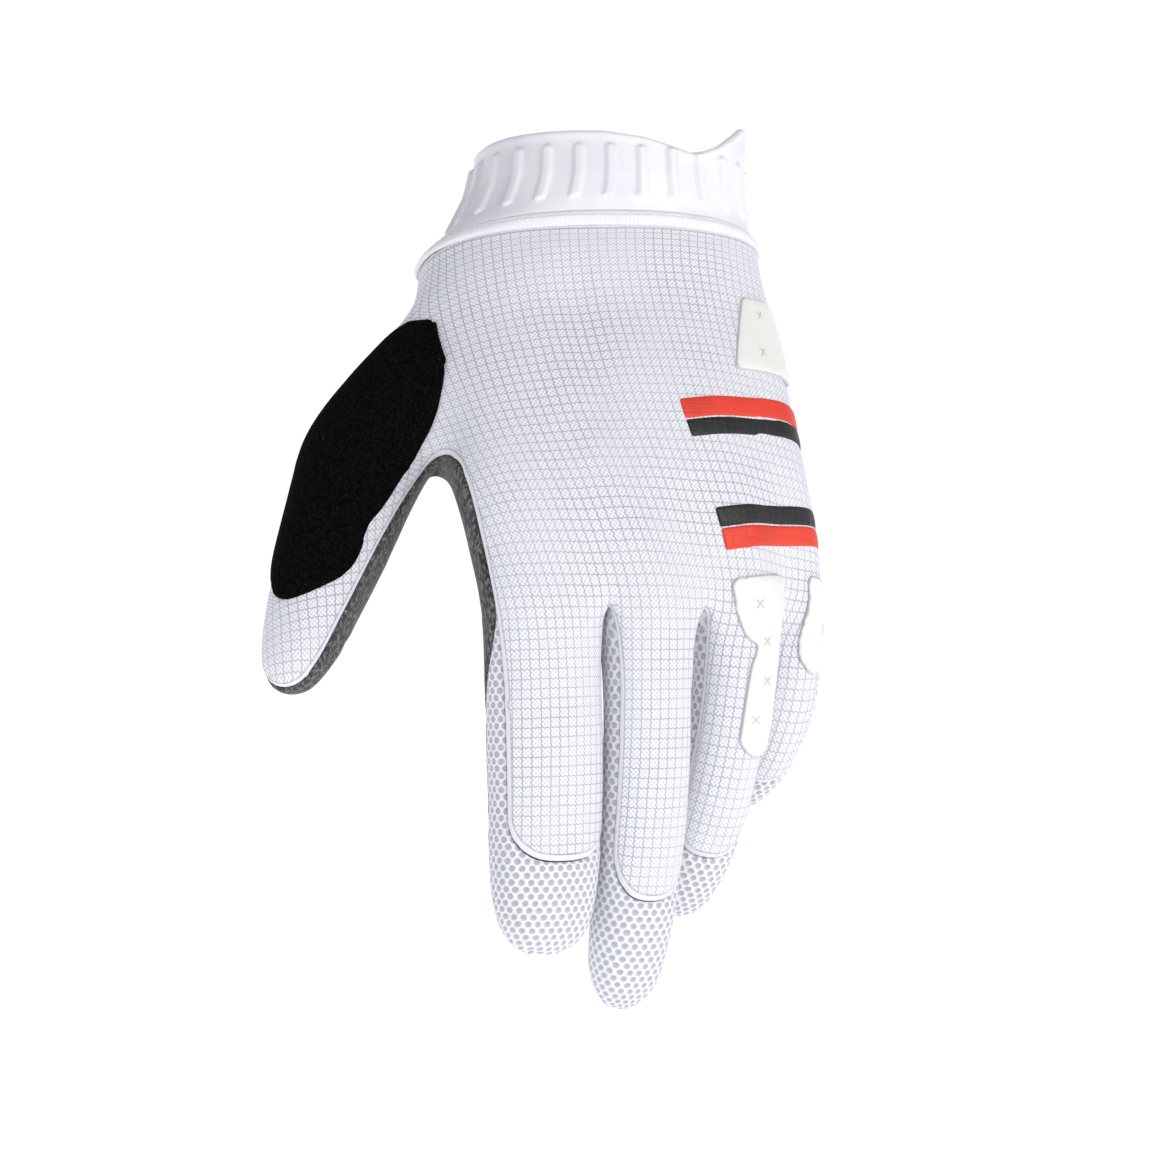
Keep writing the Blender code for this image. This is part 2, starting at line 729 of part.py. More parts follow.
def piece_of(bm, chosen):
    """A copy of the surface with the chosen faces alone."""
    copy = bm.copy()
    numbers = {face.index for face in chosen}
    copy.faces.ensure_lookup_table()
    spare = [face for face in copy.faces if face.index not in numbers]
    bmesh.ops.delete(copy, geom=spare, context="FACES")
    return copy


def shrink_border(bm, margin):
    """Draw the open border in by a margin, along the surface."""
    moves = {}
    for edge in bm.edges:
        if not edge.is_boundary:
            continue
        face = edge.link_faces[0]
        inward = face.normal.cross(edge.verts[1].co - edge.verts[0].co)
        middle = (edge.verts[0].co + edge.verts[1].co) / 2
        if inward.dot(face.calc_center_median() - middle) < 0.0:
            inward.negate()
        if inward.length == 0.0:
            continue
        for vert in edge.verts:
            moves.setdefault(vert, []).append(inward.normalized())
    for vert, found in moves.items():
        total = sum(found, Vector())
        if total.length > LEAST_SUM:
            reach = margin / max(CORNER_SUM, total.length / len(found))
            vert.co += total.normalized() * reach


def thickened(bm, inner, outer):
    """A closed wall whose faces lie at two heights along the surface's outward directions."""
    outward = bm.verts.layers.float_vector["outward"]
    bm.verts.index_update()
    count = len(bm.verts)
    points = []
    for height in (outer, inner):
        points += [vert.co + Vector(vert[outward]) * height for vert in bm.verts]
    faces = []
    for face in bm.faces:
        ring = [vert.index for vert in face.verts]
        faces.append(ring)
        faces.append([place + count for place in reversed(ring)])
    for edge in bm.edges:
        if edge.is_boundary:
            loop = edge.link_loops[0]
            first = loop.vert.index
            second = loop.link_loop_next.vert.index
            faces.append([first, first + count, second + count, second])
    return points, faces


def add_object(name, points, faces, look):
    mesh = bpy.data.meshes.new(name)
    mesh.from_pydata([tuple(point) for point in points], [], faces)
    mesh.validate()
    bm = bmesh.new()
    bm.from_mesh(mesh)
    bmesh.ops.triangulate(bm, faces=bm.faces[:])
    bm.to_mesh(mesh)
    bm.free()
    mesh.shade_smooth()
    mesh.set_sharp_from_angle(angle=math.radians(40))
    mesh.materials.append(material(name, look))
    made = bpy.data.objects.new(name, mesh)
    bpy.context.scene.collection.objects.link(made)
    return made


LOOKS = {
    "white_knit": {"colour": (0.80, 0.80, 0.86), "roughness": 0.80},
    "white_mesh": {"colour": (0.74, 0.76, 0.82), "roughness": 0.75},
    "grey_microfibre": {"colour": (0.085, 0.085, 0.09), "roughness": 0.85},
    "black_terry": {"colour": (0.012, 0.012, 0.013), "roughness": 0.95},
    "white_rubber": {"colour": (0.82, 0.82, 0.86), "roughness": 0.45},
    "cream_rubber": {"colour": (0.86, 0.85, 0.82), "roughness": 0.50},
    "red_print": {"colour": (0.90, 0.09, 0.07), "roughness": 0.50},
    "black_print": {"colour": (0.030, 0.031, 0.033), "roughness": 0.50},
}


def material(name, look):
    made = bpy.data.materials.new(name)
    made.use_nodes = True
    shader = made.node_tree.nodes["Principled BSDF"]
    shader.inputs["Base Color"].default_value = (*LOOKS[look]["colour"], 1.0)
    shader.inputs["Roughness"].default_value = LOOKS[look]["roughness"]
    shader.inputs["Metallic"].default_value = 0.0
    return made


# Where each panel lies: fields that are positive inside it, in degrees round a limb

def fade_of(spot):
    """1 on the hand and where a limb's outer side starts, 0 where the mesh has its full width."""
    if spot.region in (0, THUMB_REGION):
        return 1.0
    finger = FINGERS[spot.region - 1]
    share = spot.reach / finger["length"]
    return min(1.0, max(0.0, spot.outer)) * (1.0 - smoothstep(0.0, MESH_START, share))


def side_seam(spot):
    """The side seam's angle: the knit reaches further round the wrist than down the hand."""
    share = spot.along / BACK_LENGTH
    return WRIST_SEAM + (SIDE_SEAM - WRIST_SEAM) * smoothstep(0.0, WRIST_SEAM_END, share)


def back_field(spot):
    seam = TONGUE_SEAM + (side_seam(spot) - TONGUE_SEAM) * fade_of(spot)
    if spot.region in (0, THUMB_REGION):
        return seam - spot.away
    finger = FINGERS[spot.region - 1]
    share = spot.reach / finger["length"]
    past = max(0.0, share - (finger["tongue"] - TONGUE_ROUNDING)) / TONGUE_ROUNDING
    return seam * (1.0 - math.hypot(spot.away / seam, past))


def palm_field(spot):
    seam = PALM_SEAM + (side_seam(spot) - PALM_SEAM) * fade_of(spot)
    return spot.away - seam


def inside_outline(outline, across, along):
    """Distance inside a closed outline on the cloth; negative outside it."""
    nearest = None
    within = False
    count = len(outline)
    for place in range(count):
        first_across, first_along = outline[place]
        second_across, second_along = outline[(place + 1) % count]
        run_across = second_across - first_across
        run_along = second_along - first_along
        length = run_across * run_across + run_along * run_along
        share = ((across - first_across) * run_across + (along - first_along) * run_along) / length
        share = min(1.0, max(0.0, share))
        gap = math.hypot(first_across + share * run_across - across, first_along + share * run_along - along)
        nearest = gap if nearest is None else min(nearest, gap)
        if (first_along > along) != (second_along > along):
            crossing = first_across + (along - first_along) / run_along * run_across
            if across < crossing:
                within = not within
    return nearest if within else -nearest


def overlay_field(outline, regions):
    """An outline on the cloth, held clear of the side seam."""
    def field(spot):
        inside = inside_outline(outline, spot.across, spot.along)
        if spot.region not in regions:
            inside = min(inside, -REGION_STEP)
        return min(inside, edge_field(spot))
    return field


def wipe_outline():
    inner = [(-row["inner"] * THUMB_LENGTH, row["along"] * THUMB_LENGTH) for row in WIPE_OUTLINE]
    outer = [(-row["outer"] * THUMB_LENGTH, row["along"] * THUMB_LENGTH) for row in WIPE_OUTLINE]
    return inner + outer[::-1]


def pad_outline(rows):
    return [(row["across"] * HAND_WIDTH / 2, row["along"] * BACK_LENGTH) for row in rows]


def stripe_outline(row):
    right = STRIPES_RIGHT * HAND_WIDTH / 2
    top = STRIPES_TOP + row["start"] * STRIPES_HEIGHT + SEAM_GAP / 2
    bottom = STRIPES_TOP + row["end"] * STRIPES_HEIGHT - SEAM_GAP / 2
    tilt = STRIPES_SLANT * (right - STRIPES_LEFT)
    return [(STRIPES_LEFT, top), (STRIPES_LEFT, bottom), (right, bottom + tilt), (right, top + tilt)]


# The pieces

def flatten(panel):
    """Join faces that lie almost in one plane, away from the border."""
    inner_edges = [edge for edge in panel.edges if not edge.is_boundary]
    inner_verts = [vert for vert in panel.verts if not vert.is_boundary]
    bmesh.ops.dissolve_limit(panel, angle_limit=math.radians(FLAT_ANGLE), use_dissolve_boundaries=False,
                             verts=inner_verts, edges=inner_edges)
    bmesh.ops.triangulate(panel, faces=panel.faces[:])


def make_panels(surface):
    sheet = surface.copy()
    cut_along(sheet, back_field)
    cut_along(sheet, palm_field)
    layers = layers_of(sheet)
    chosen = {}
    for face in sheet.faces:
        spots = [Spot(vert, layers, face.material_index) for vert in face.verts]
        if sum(back_field(spot) for spot in spots) > 0.0:
            name = "back_panel"
        elif sum(palm_field(spot) for spot in spots) > 0.0:
            name = "palm_panel"
        else:
            name = FINGERS[face.material_index - 1]["name"] + "_mesh"
        chosen.setdefault(name, []).append(face)
    sheet.faces.index_update()
    walls = {"back_panel": (KNIT_WALL, "white_knit"), "palm_panel": (PALM_WALL, "grey_microfibre")}
    for name, faces in chosen.items():
        wall, look = walls.get(name, (MESH_WALL, "white_mesh"))
        panel = piece_of(sheet, faces)
        if name != "back_panel":
            flatten(panel)
        shrink_border(panel, SEAM_GAP / 2)
        add_object(name, *thickened(panel, -wall, 0.0), look)
        panel.free()
    sheet.free()


def side_field(first, second):
    """Distance to the inner side of one straight side of an outline."""
    run_across = second[0] - first[0]
    run_along = second[1] - first[1]
    length = math.hypot(run_across, run_along)

    def field(spot):
        return (run_across * (spot.along - first[1]) - run_along * (spot.across - first[0])) / length
    return field


def turns_of(outline):
    """Twice the outline's area: positive where its corners run from across to along."""
    total = 0.0
    for first, second in zip(outline, outline[1:] + outline[:1]):
        total += first[0] * second[1] - second[0] * first[1]
    return total


def edge_field(spot):
    return (OVERLAY_EDGE - spot.away) * DEGREE_RUN


def keep_inside(sheet, field):
    """Cut the sheet along the field's zero line and drop what lies outside."""
    cut_along(sheet, field)
    layers = layers_of(sheet)
    outside = []
    for face in sheet.faces:
        if sum(field(Spot(vert, layers, face.material_index)) for vert in face.verts) <= 0.0:
            outside.append(face)
    bmesh.ops.delete(sheet, geom=outside, context="FACES")


def make_overlay(surface, name, outline, regions, wall, look):
    """A thin piece on the surface. A convex outline is cut side by side, another one in a single cut."""
    sheet = surface.copy()
    bmesh.ops.triangulate(sheet, faces=sheet.faces[:])
    layers = layers_of(sheet)
    field = overlay_field(outline, regions)
    far = []
    for face in sheet.faces:
        values = [field(Spot(vert, layers, face.material_index)) for vert in face.verts]
        if max(values) < -OVERLAY_MARGIN:
            far.append(face)
    bmesh.ops.delete(sheet, geom=far, context="FACES")
    if turns_of(outline) < 0.0:
        outline = outline[::-1]
    corners = zip(outline[-1:] + outline[:-1], outline, outline[1:] + outline[:1])
    if all(turns_of([before, here, after]) > 0.0 for before, here, after in corners):
        for first, second in zip(outline, outline[1:] + outline[:1]):
            keep_inside(sheet, side_field(first, second))
        keep_inside(sheet, edge_field)
    else:
        keep_inside(sheet, field)
    add_object(name, *thickened(sheet, OVERLAY_GAP, OVERLAY_GAP + wall), look)
    sheet.free()


def cuff_section(height):
    """Frame, width and depth of the cuff at a height above the wrist seam."""
    share = min(1.0, height / CUFF_HEIGHT)
    swell = look_up(CUFF_SWELL, "swell", 1.0 - share)
    frame = hand_frame(-share)
    if height > CUFF_HEIGHT:
        frame = frame.moved(frame.at(0.0, 0.0, CUFF_HEIGHT - height))
    width = CUFF_WIDTH + (WRIST_WIDTH - CUFF_WIDTH) * swell
    depth = CUFF_DEPTH + (WRIST_DEPTH - CUFF_DEPTH) * swell
    return frame, width, depth


def cuff_point(angle, height, grow):
    frame, width, depth = cuff_section(height)
    return frame.at(*oval(width + 2 * grow, depth + 2 * grow, angle))


def rim_rise(angle):
    return TAB_REACH * look_up(RIM_RISE, "rise", angle, "angle")


def cuff_columns(shift):
    """Angles round the cuff, with 1 where a rib stands and 0 beside it, the ribs moved by a shift."""
    fine = [90.0 - step * 0.25 for step in range(721)]
    points = [Vector(oval(CUFF_WIDTH, CUFF_DEPTH, angle)) for angle in fine]
    runs = [0.0]
    for before, after in zip(points, points[1:]):
        runs.append(runs[-1] + (after - before).length)
    columns = []
    for rib in range(-(RIB_COUNT // 2), RIB_COUNT // 2 + 1):
        for side, height in ((-0.5, 0.0), (-RIB_CREST / 2, 1.0), (RIB_CREST / 2, 1.0), (0.5, 0.0)):
            run = rib * RIB_PITCH + side * RIB_WIDTH + shift
            turn = 90.0 - float(np.interp(abs(run), runs, fine))
            columns.append((plain_angle(90.0 - math.copysign(turn, run)), height))
    last = columns[-1][0]
    span = (last - columns[0][0]) % 360.0
    for step in range(1, PLAIN_COLUMNS):
        columns.append((plain_angle(last - span * step / PLAIN_COLUMNS), 0.0))
    return columns


def plain_angle(angle):
    return (angle + 180.0) % 360.0 - 180.0


def make_cuff():
    """A tube whose rows run from the rim over the ribs down to the foot, and back up inside."""
    foot = BINDING_WIDTH + SEAM_GAP
    rib_top = CUFF_HEIGHT - RIB_TOP_INSET
    rib_foot = rib_top - RIB_LENGTH
    chamfer = RIB_FLANK * RIB_WIDTH
    levels = [(rib_top, 0.0), (rib_top - chamfer, 1.0), (rib_foot + chamfer, 1.0), (rib_foot, 0.0), (foot, 0.0)]
    top = cuff_columns(0.0)
    points = []
    rows = []

    def add_row(columns, height, grow, relief):
        row = []
        for angle, ribbed in columns:
            level = CUFF_HEIGHT + rim_rise(angle) if height is None else height
            row.append(len(points))
            points.append(cuff_point(angle, level, grow + RIB_RELIEF * ribbed * relief))
        rows.append(row)

    add_row(top, None, 0.0, 0.0)
    for height, relief in levels:
        columns = cuff_columns(RIB_SLANT * (rib_top - height))
        add_row(columns, height, 0.0, relief)
    add_row(columns, foot, -CUFF_WALL, 0.0)
    add_row(top, None, -CUFF_WALL, 0.0)
    faces = []
    count = len(top)
    for upper, lower in zip(rows, rows[1:] + rows[:1]):
        for step in range(count):
            after = (step + 1) % count
            faces.append((upper[step], lower[step], lower[after], upper[after]))
    add_object("cuff", points, faces, "white_rubber")


def make_binding():
    """A roll of tape round the wrist seam, its flat foot inside the wall."""
    count = BINDING_COLUMNS
    low = SEAM_GAP / 2
    high = BINDING_WIDTH
    half = BINDING_THICKNESS / 2
    corner = BINDING_CORNER * BINDING_THICKNESS
    inside = -BINDING_DEPTH * BINDING_THICKNESS
    section = [
        (high, inside), (high, half - corner), (high - corner, half),
        (low + corner, half), (low, half - corner), (low, inside),
    ]
    points = []
    for step in range(count):
        angle = plain_angle(90.0 - 360.0 * step / count)
        for height, grow in section:
            points.append(cuff_point(angle, height, grow))
    faces = []
    corners = len(section)
    for step in range(count):
        after = (step + 1) % count
        for place in range(corners):
            other = (place + 1) % corners
            faces.append((step * corners + place, step * corners + other,
                          after * corners + other, after * corners + place))
    add_object("cuff_binding", points, faces, "white_knit")


def make_glove():
    surface = smooth_hand(1)
    make_cuff()
    make_binding()
    make_panels(surface)
    make_overlay(surface, "thumb_wipe", wipe_outline(), (THUMB_REGION,), WIPE_WALL, "black_terry")
    make_overlay(surface, "hand_edge_pad", pad_outline(HAND_EDGE_PAD), (0,), PAD_WALL, "cream_rubber")
    make_overlay(surface, "ring_finger_pad", pad_outline(RING_FINGER_PAD), (0, 3), PAD_WALL, "cream_rubber")
    make_overlay(surface, "little_finger_pad", pad_outline(LITTLE_FINGER_PAD), (0, 4), PAD_WALL,
                 "cream_rubber")
    for row in STRIPES:
        make_overlay(surface, row["name"], stripe_outline(row), (0,), STRIPE_WALL, row["look"])
    surface.free()


for old in list(bpy.data.objects):
    bpy.data.objects.remove(old, do_unlink=True)
make_glove()
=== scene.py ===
"""The mountain bike glove, dressed: knit, mesh, suede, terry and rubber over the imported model.

The hand's surface repeats the model's own sizes and functions, with a finer mesh.
All lengths are in metres and all angles in degrees.
"""

import json
import math

import bmesh
import bpy
import numpy as np
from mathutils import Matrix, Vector, noise
from mathutils.kdtree import KDTree

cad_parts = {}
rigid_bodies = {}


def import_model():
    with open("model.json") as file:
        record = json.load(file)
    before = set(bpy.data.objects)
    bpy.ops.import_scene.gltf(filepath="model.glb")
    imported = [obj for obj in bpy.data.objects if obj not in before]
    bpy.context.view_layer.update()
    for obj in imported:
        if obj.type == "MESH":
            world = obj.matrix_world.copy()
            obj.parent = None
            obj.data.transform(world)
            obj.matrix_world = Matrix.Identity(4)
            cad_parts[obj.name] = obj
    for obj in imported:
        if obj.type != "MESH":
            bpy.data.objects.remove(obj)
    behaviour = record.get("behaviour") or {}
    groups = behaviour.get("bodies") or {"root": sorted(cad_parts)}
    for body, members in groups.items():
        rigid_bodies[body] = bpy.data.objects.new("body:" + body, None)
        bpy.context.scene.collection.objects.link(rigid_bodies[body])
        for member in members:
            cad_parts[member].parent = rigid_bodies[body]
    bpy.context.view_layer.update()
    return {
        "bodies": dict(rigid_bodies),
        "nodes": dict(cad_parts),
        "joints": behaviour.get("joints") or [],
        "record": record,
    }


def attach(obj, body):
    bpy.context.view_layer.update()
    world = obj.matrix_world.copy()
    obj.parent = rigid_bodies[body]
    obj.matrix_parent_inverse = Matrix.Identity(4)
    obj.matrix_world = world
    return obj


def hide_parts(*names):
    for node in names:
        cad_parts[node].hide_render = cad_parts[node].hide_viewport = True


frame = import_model()


def rows_of(names, rows):
    """A table as one dictionary a row, its columns named in the first string."""
    return [dict(zip(names.split(), row)) for row in rows]


# Walls, gaps and relief
KNIT_WALL = 0.0013
PALM_WALL = 0.0013
MESH_WALL = 0.0015
CUFF_WALL = 0.0018
SEAM_GAP = 0.0003
OVERLAY_GAP = 0.0004
WIPE_WALL = 0.0011
PAD_WALL = 0.0010
STRIPE_WALL = 0.0006
RIB_RELIEF = 0.0010

# Cuff
CUFF_HEIGHT = 0.0282
CUFF_WIDTH = 0.0640
CUFF_DEPTH = 0.0520
TAB_REACH = 0.0100
BINDING_WIDTH = 0.0032
BINDING_THICKNESS = 0.0020
RIB_WIDTH = 0.0030
RIB_LENGTH = 0.0172
RIB_PITCH = 0.0074
RIB_COUNT = 15
RIB_SLANT = 0.20
RIB_TOP_INSET = 0.0034

# Hand
BACK_LENGTH = 0.0955
WRIST_WIDTH = 0.0840
WRIST_DEPTH = 0.0460
HAND_WIDTH = 0.0920
HAND_DEPTH = 0.0400
KNUCKLE_DEPTH = 0.0330

# Fingers and thumb, from the web to the tip
INDEX_LENGTH = 0.0860
MIDDLE_LENGTH = 0.1010
RING_LENGTH = 0.0815
LITTLE_LENGTH = 0.0560
THUMB_LENGTH = 0.0920
THUMB_WIDTH = 0.0310
THUMB_DEPTH = 0.0270

# Where the panels meet, as angles from the middle of the back
SIDE_SEAM = 75.0
WRIST_SEAM = 106.0
WRIST_SEAM_END = 0.36
TONGUE_SEAM = 70.0
PALM_SEAM = 122.0
MESH_START = 0.35

# The knit on a finger's back ends in a round, this share of the finger's length long
TONGUE_ROUNDING = 0.13

# The bend of the hand's middle line, from the cuff's rim (share -1) past the wrist (0) to the webs (1).
# Lean and skew turn the line back and to the little finger's side; tilt and roll turn the section on it.
HAND_PATH = rows_of("share lean skew tilt roll", [
    (-1.00, 12, 17, 7, 12),
    (-0.50, 16, 22, 6, 11),
    (-0.20, 22, 34, 5, 10),
    (0.00, 24, 20, 5, 10),
    (0.15, 36, 10, 5, 8),
    (0.45, 39, 12, 6, 6),
    (0.70, 33, 3, 5, 4),
    (0.88, 20, 0, 4, 2),
    (1.00, 8, 0, 2, 0),
])

# Sections of the hand between wrist and webs; knuckles says how far they have the fingers' own shape
PALM_SECTIONS = rows_of("share width depth knuckles", [
    (0.00, WRIST_WIDTH, WRIST_DEPTH, 0.0),
    (0.14, 0.5 * (WRIST_WIDTH + HAND_WIDTH), WRIST_DEPTH, 0.0),
    (0.28, HAND_WIDTH, HAND_DEPTH, 0.05),
    (0.43, HAND_WIDTH, HAND_DEPTH, 0.12),
    (0.62, HAND_WIDTH, 0.5 * (HAND_DEPTH + KNUCKLE_DEPTH), 0.3),
    (0.80, HAND_WIDTH, KNUCKLE_DEPTH, 0.65),
    (1.00, HAND_WIDTH, KNUCKLE_DEPTH, 1.0),
])

# The fingers at the webs: across and out from the hand's middle line, and how far each one bends
FINGERS = rows_of("name across out length width depth splay flex knuckle_bend tip_bend roll tongue", [
    ("index", -0.329 * HAND_WIDTH, -0.02 * KNUCKLE_DEPTH, INDEX_LENGTH,
     0.330 * HAND_WIDTH, 0.68 * KNUCKLE_DEPTH, 4, 7, 4, 4, 4, 0.72),
    ("middle", -0.049 * HAND_WIDTH, 0.15 * KNUCKLE_DEPTH, MIDDLE_LENGTH,
     0.234 * HAND_WIDTH, 0.62 * KNUCKLE_DEPTH, 3, 8, 12, 8, 0, 0.70),
    ("ring", 0.248 * HAND_WIDTH, 0.045 * KNUCKLE_DEPTH, RING_LENGTH,
     0.217 * HAND_WIDTH, 0.60 * KNUCKLE_DEPTH, -1, 12, 20, 16, -10, 0.73),
    ("little", 0.446 * HAND_WIDTH, -0.24 * KNUCKLE_DEPTH, LITTLE_LENGTH,
     0.201 * HAND_WIDTH, 0.58 * KNUCKLE_DEPTH, 1, 10, 42, 14, -25, 0.72),
])

# How a finger's width and depth change along it
FINGER_SECTIONS = rows_of("share width depth", [
    (0.10, 0.98, 1.00),
    (0.32, 0.98, 0.97),
    (0.54, 0.98, 0.94),
    (0.76, 0.97, 0.90),
    (0.93, 0.79, 0.76),
])

# The thumb, whose root is the radial side of the hand
THUMB_ROOT = {"share": 0.20, "across": -0.50 * HAND_WIDTH, "out": -0.20 * HAND_DEPTH,
              "splay": -27.5, "flex": 21}
THUMB_SECTIONS = rows_of("share width depth roll", [
    (0.27, 1.07, 1.08, 20),
    (0.41, 0.93, 1.04, 30),
    (0.56, 0.84, 0.96, 37),
    (0.70, 0.76, 0.88, 42),
    (0.84, 0.64, 0.73, 45),
    (0.95, 0.42, 0.47, 46),
])

# How far the cuff swells from its rim (0) to its seam (1)
CUFF_SWELL = rows_of("share swell", [
    (0.0, 0.0),
    (0.4, 0.12),
    (0.7, 0.42),
    (1.0, 1.0),
])

# How far the rim rises round the cuff, as shares of the tab: the pull tab stands over the palm, and a
# dip and a small ear lie on the little finger's side of the back
RIM_RISE = rows_of("angle rise", [
    (-170, 0.00),
    (-155, 0.10),
    (-130, 0.60),
    (-110, 0.92),
    (-90, 1.00),
    (-65, 0.86),
    (-45, 0.60),
    (-25, 0.36),
    (0, 0.46),
    (14, 0.60),
    (24, 0.68),
    (30, 0.61),
    (36, 0.46),
    (45, 0.21),
    (55, -0.12),
    (62, -0.31),
    (69, -0.42),
    (78, -0.30),
    (90, -0.10),
    (104, 0.00),
])

# Outline of the thumb's patch, down the thumb, as shares of its length; inner is the fingers' side
WIPE_OUTLINE = rows_of("along inner outer", [
    (0.195, 0.570, 0.60),
    (0.245, 0.490, 0.72),
    (0.375, 0.497, 0.88),
    (0.470, 0.540, 0.98),
    (0.555, 0.592, 1.04),
    (0.650, 0.690, 1.07),
    (0.730, 0.745, 1.08),
    (0.770, 0.800, 1.08),
    (0.835, 0.816, 1.07),
    (0.885, 0.866, 1.06),
    (0.905, 0.930, 1.04),
    (0.915, 0.980, 1.02),
])

# Outlines of the rubber pads as shares of half the hand's width across and of its back's length along
HAND_EDGE_PAD = rows_of("across along", [
    (0.70, 0.235),
    (0.55, 0.460),
    (1.12, 0.425),
    (1.16, 0.200),
])
RING_FINGER_PAD = rows_of("across along", [
    (0.14, 0.965),
    (0.18, 1.030),
    (0.26, 1.085),
    (0.36, 1.105),
    (0.32, 1.135),
    (0.31, 1.240),
    (0.31, 1.335),
    (0.42, 1.365),
    (0.64, 1.335),
    (0.64, 1.060),
    (0.54, 0.940),
])
LITTLE_FINGER_PAD = rows_of("across along", [
    (0.78, 0.930),
    (0.86, 1.110),
    (0.96, 1.150),
    (1.16, 1.100),
    (1.14, 0.930),
])

# Overlays end at this angle from the middle of the back. On the cloth a degree round a limb counts as
# DEGREE_RUN, a corner of another limb as REGION_STEP outside an outline, and what lies more than
# OVERLAY_MARGIN outside it is left out before the cuts.
OVERLAY_EDGE = 71.0
DEGREE_RUN = 0.0003
REGION_STEP = 0.001
OVERLAY_MARGIN = 0.010

# The printed bands, from the top one down, as shares of their whole height
STRIPES_TOP = 0.555 * BACK_LENGTH
STRIPES_HEIGHT = 0.351 * BACK_LENGTH
STRIPES_LEFT = 0.076 * HAND_WIDTH
STRIPES_RIGHT = 1.2
STRIPES_SLANT = -0.14
STRIPES = rows_of("name start end look", [
    ("stripe_red_upper", 0.00, 0.15, "red_print"),
    ("stripe_black_upper", 0.15, 0.28, "black_print"),
    ("stripe_black_lower", 0.73, 0.86, "black_print"),
    ("stripe_red_lower", 0.86, 1.00, "red_print"),
])
BACK_STEPS = 12
LITTLE_SIDE = (BACK_STEPS + 1, BACK_STEPS + 2)
PALM_START = BACK_STEPS + 3
PALM_END = PALM_START + BACK_STEPS
THUMB_SIDE = (PALM_END + 1, PALM_END + 2)
CORNERS_PER_FINGER = 3
LIMB_RING_ANGLES = [135, 105, 75, 45, 15, -15, -45, -75, -105, -135, -165, 165]
THUMB_PATCH_ROWS = (1, 4)
ROUNDNESS = 0.88
THUMB_REGION = len(FINGERS) + 1

# The rounded ends of the limbs as shares of their lengths, and the cloth's run from a web's one corner
# to the next
FINGER_CAP = 0.06
THUMB_CAP = 0.035
WEB_RUN = 0.004

# How much of a line's edge a corner may slide to reach it, and the least sum of a border's directions
SNAP = 0.18
LEAST_SUM = 1e-6
CORNER_SUM = 0.5


def sine(angle):
    return math.sin(math.radians(angle))


def cosine(angle):
    return math.cos(math.radians(angle))


def smoothstep(low, high, value):
    share = min(1.0, max(0.0, (value - low) / (high - low)))
    return share * share * (3.0 - 2.0 * share)


def column(rows, name):
    return [row[name] for row in rows]


def look_up(rows, name, value, key="share"):
    return float(np.interp(value, column(rows, key), column(rows, name)))


class Frame:
    """A place on a middle line: centre, and the directions down, across and out of the back."""

    def __init__(self, centre, down, across):
        self.centre = centre
        self.down = down.normalized()
        self.across = (across - across.dot(self.down) * self.down).normalized()
        self.out = self.down.cross(self.across)

    def at(self, across, out, down=0.0):
        return self.centre + across * self.across + out * self.out + down * self.down

    def turned(self, splay, flex, roll):
        down = self.down * (cosine(splay) * cosine(flex)) + self.across * (sine(splay) * cosine(flex))
        down = down - self.out * sine(flex)
        turned = Frame(self.centre, down, self.across)
        across = turned.across * cosine(roll) + turned.out * sine(roll)
        return Frame(self.centre, down, across)

    def moved(self, centre):
        return Frame(centre, self.down, self.across)


def hand_direction(share, sideways):
    lean = look_up(HAND_PATH, "lean", share)
    aside = look_up(HAND_PATH, sideways, share)
    return Vector((-math.tan(math.radians(aside)) * cosine(lean), -sine(lean), -cosine(lean))).normalized()


def hand_frame(share):
    """The frame at a share of the hand: -1 is the cuff's rim, 0 the wrist seam and 1 the webs."""
    steps = 120
    centre = Vector((0.0, 0.0, 0.0))
    for step in range(steps):
        here = -1.0 + (share + 1.0) * (step + 0.5) / steps
        stretch = CUFF_HEIGHT if here < 0.0 else BACK_LENGTH
        centre += hand_direction(here, "skew") * (stretch * (share + 1.0) / steps)
    level = Frame(centre, hand_direction(share, "tilt"), Vector((1.0, 0.0, 0.0)))
    roll = look_up(HAND_PATH, "roll", share)
    return Frame(centre, level.down, level.across * cosine(roll) + level.out * sine(roll))


def oval(width, depth, angle, roundness=ROUNDNESS):
    across = math.copysign(abs(cosine(angle)) ** roundness, cosine(angle)) * width / 2
    out = math.copysign(abs(sine(angle)) ** roundness, sine(angle)) * depth / 2
    return across, out


def palm_angles():
    """Angles of a ring's corners: over the back, down the little finger's side, the palm, the thumb's."""
    back = [150 - 10 * step for step in range(BACK_STEPS + 1)]
    palm = [-30 - 10 * step for step in range(BACK_STEPS + 1)]
    return back + [10, -10] + palm + [-170, 170]


def away_from_back(angle):
    """The unsigned angle between a corner of a ring and the middle of the back."""
    turn = abs(angle - 90.0) % 360.0
    return min(turn, 360.0 - turn)


def section_of_finger(finger, angle):
    across, out = oval(finger["width"], finger["depth"], angle + finger["roll"])
    return finger["across"] + across, finger["out"] + out


